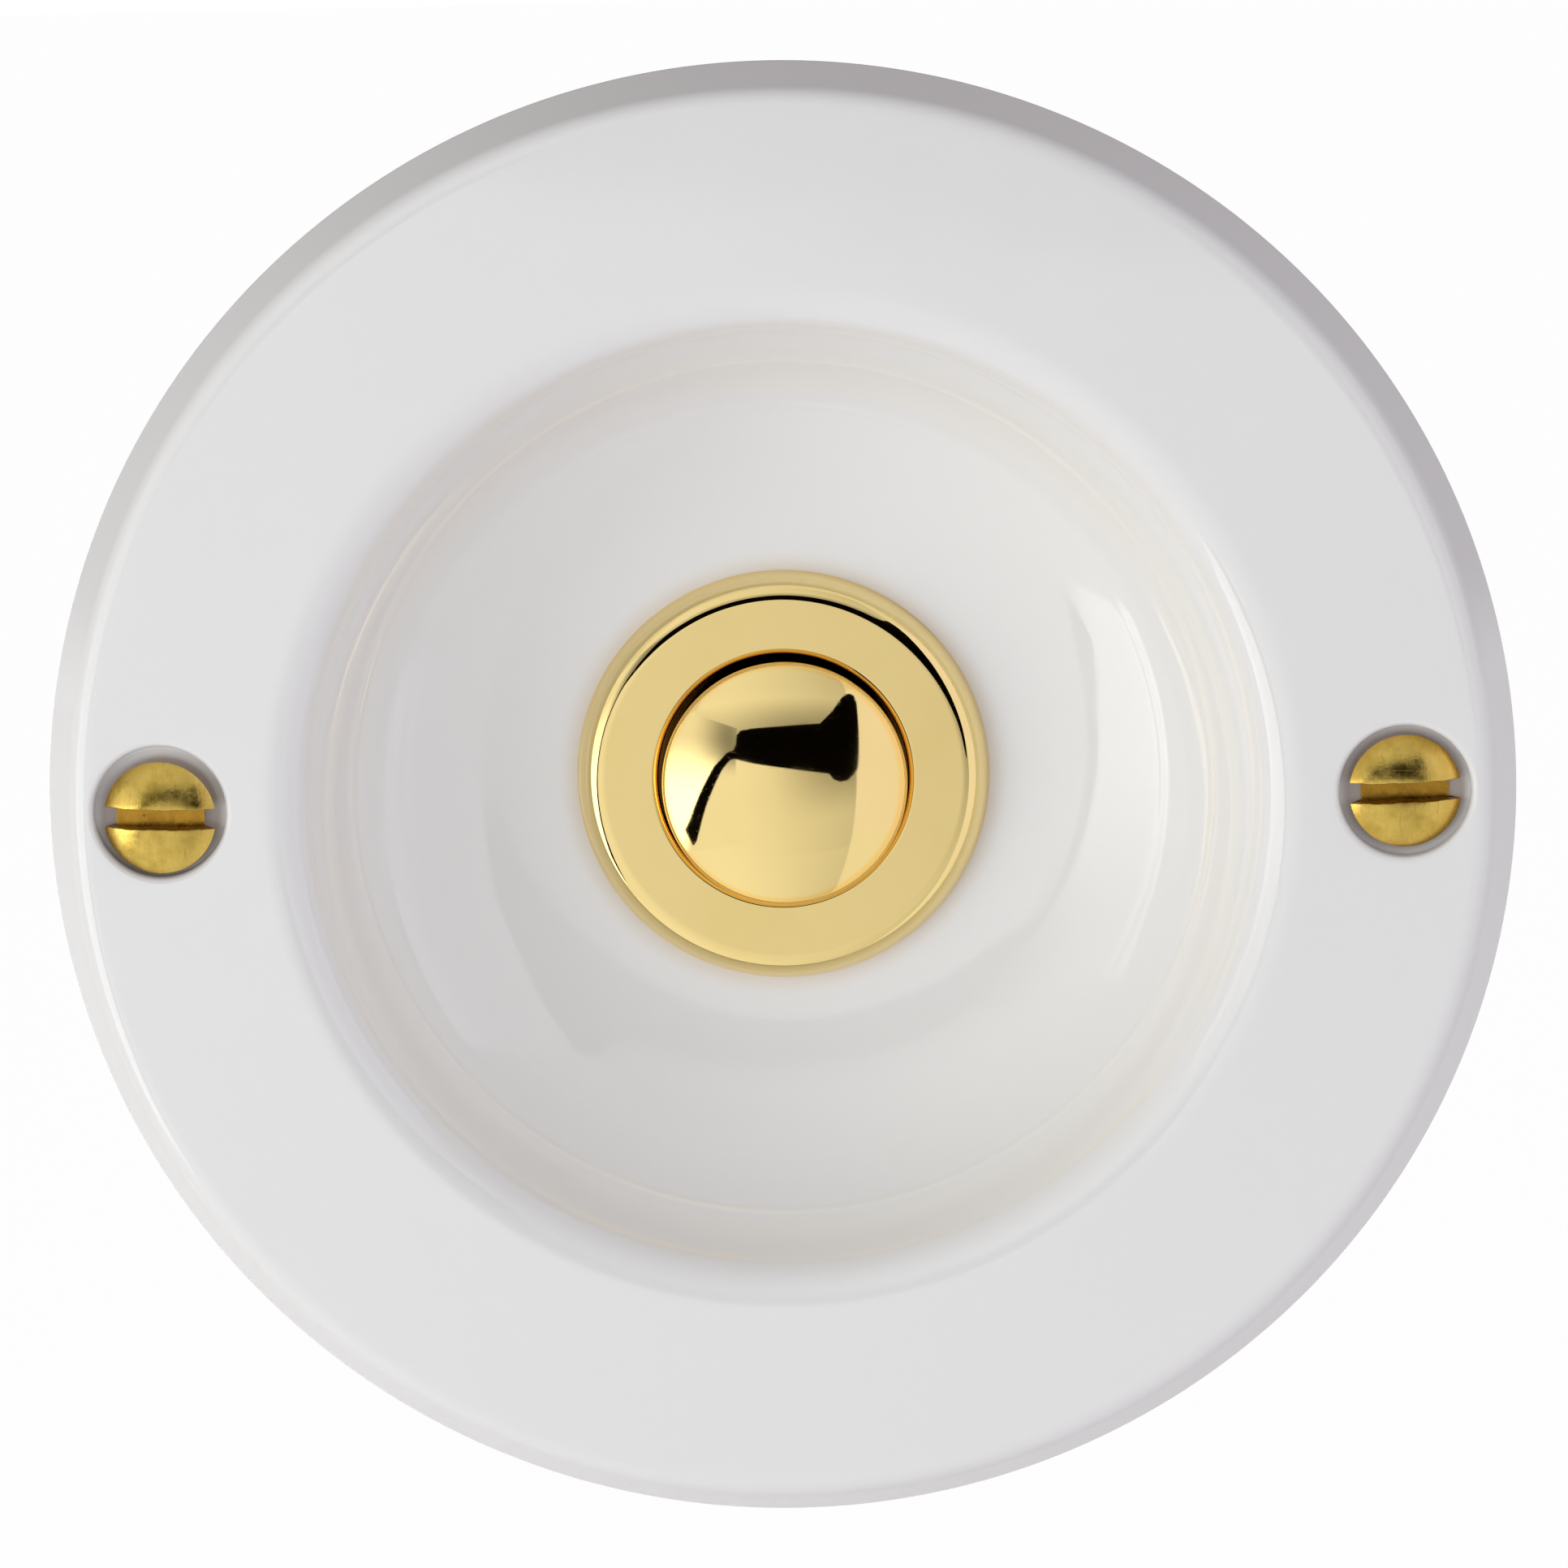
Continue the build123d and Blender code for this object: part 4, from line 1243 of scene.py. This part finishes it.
stand = stage_card(
    "dark_stand",
    [(x, stand_y, z) for x, z in stand_outline],
    stage_material("dark_stand", stand_black, share=0.0, strength=1.0),
    camera_sees=False,
)
stand.visible_diffuse = False

room_white = (1.0, 0.99, 0.985, 1.0)
ceiling_shade = (0.12, 0.03, 0.055, 1.0)
wall_shade = (0.33, 0.30, 0.315, 1.0)
studio = bpy.data.worlds.new("studio")
bpy.context.scene.world = studio
studio.use_nodes = True
tree = studio.node_tree
tree.nodes.clear()
path = tree.nodes.new("ShaderNodeLightPath").outputs
mirrored = calculate(tree, "MAXIMUM", path["Is Glossy Ray"], path["Is Transmission Ray"])
way = split(tree, add(tree, "ShaderNodeTexCoord", {}).outputs["Generated"])
rearward = ramp(tree, way["Y"], -0.7, 0.3, 0.0, 1.0)
behind = product(tree, rearward, ramp(tree, way["Z"], -0.05, 0.12, 0.0, 1.0))
overhead = product(tree, rearward, ramp(tree, way["Z"], 0.0, 0.35, 0.0, 1.0))


def room(tree, colour, strength):
    """One of the looks that the room has."""
    inputs = {"Color": colour, "Strength": strength}
    return add(tree, "ShaderNodeBackground", inputs).outputs[0]


room_strength = 0.565
room_colour = blend_colours(tree, overhead, room_white, ceiling_shade)
room_light = room(tree, room_colour, room_strength)
room_seen = room(tree, blend_colours(tree, behind, plain_white, wall_shade), 1.0)
white_room = room(tree, plain_white, 1.0)
mixed = add(tree, "ShaderNodeMixShader", {0: mirrored, 1: room_light, 2: room_seen})
mixed = add(
    tree,
    "ShaderNodeMixShader",
    {0: path["Is Camera Ray"], 1: mixed.outputs[0], 2: white_room},
)
add(tree, "ShaderNodeOutputWorld", {"Surface": mixed.outputs[0]})


# Camera: it stands in front of the part, a little above it and turned a touch, with a long lens.
# It is rolled slightly, because the part lies a little askew in the picture.
view_elevation = 9.18
view_azimuth = 0.55
view_roll = radians(-1.30)
view_distance = 0.450
view_target = Vector((0.04 * mm, 0.0, -0.25 * mm))
back = way_to(view_azimuth, view_elevation)
level = Vector((cos(radians(view_azimuth)), sin(radians(view_azimuth)), 0.0))
upward = back.cross(level)
rightward = level * cos(view_roll) + upward * sin(view_roll)
upward = upward * cos(view_roll) - level * sin(view_roll)
lens = bpy.data.cameras.new("camera")
lens.sensor_width = 36.0
lens.lens = 176.07
lens.clip_start = 0.01
lens.clip_end = 20.0
camera = put_in_scene("camera", lens)
turn_to = Matrix((rightward, upward, back)).transposed().to_4x4()
camera.matrix_world = Matrix.Translation(view_target + back * view_distance) @ turn_to
bpy.context.scene.camera = camera
bpy.context.scene.view_settings.view_transform = "Standard"
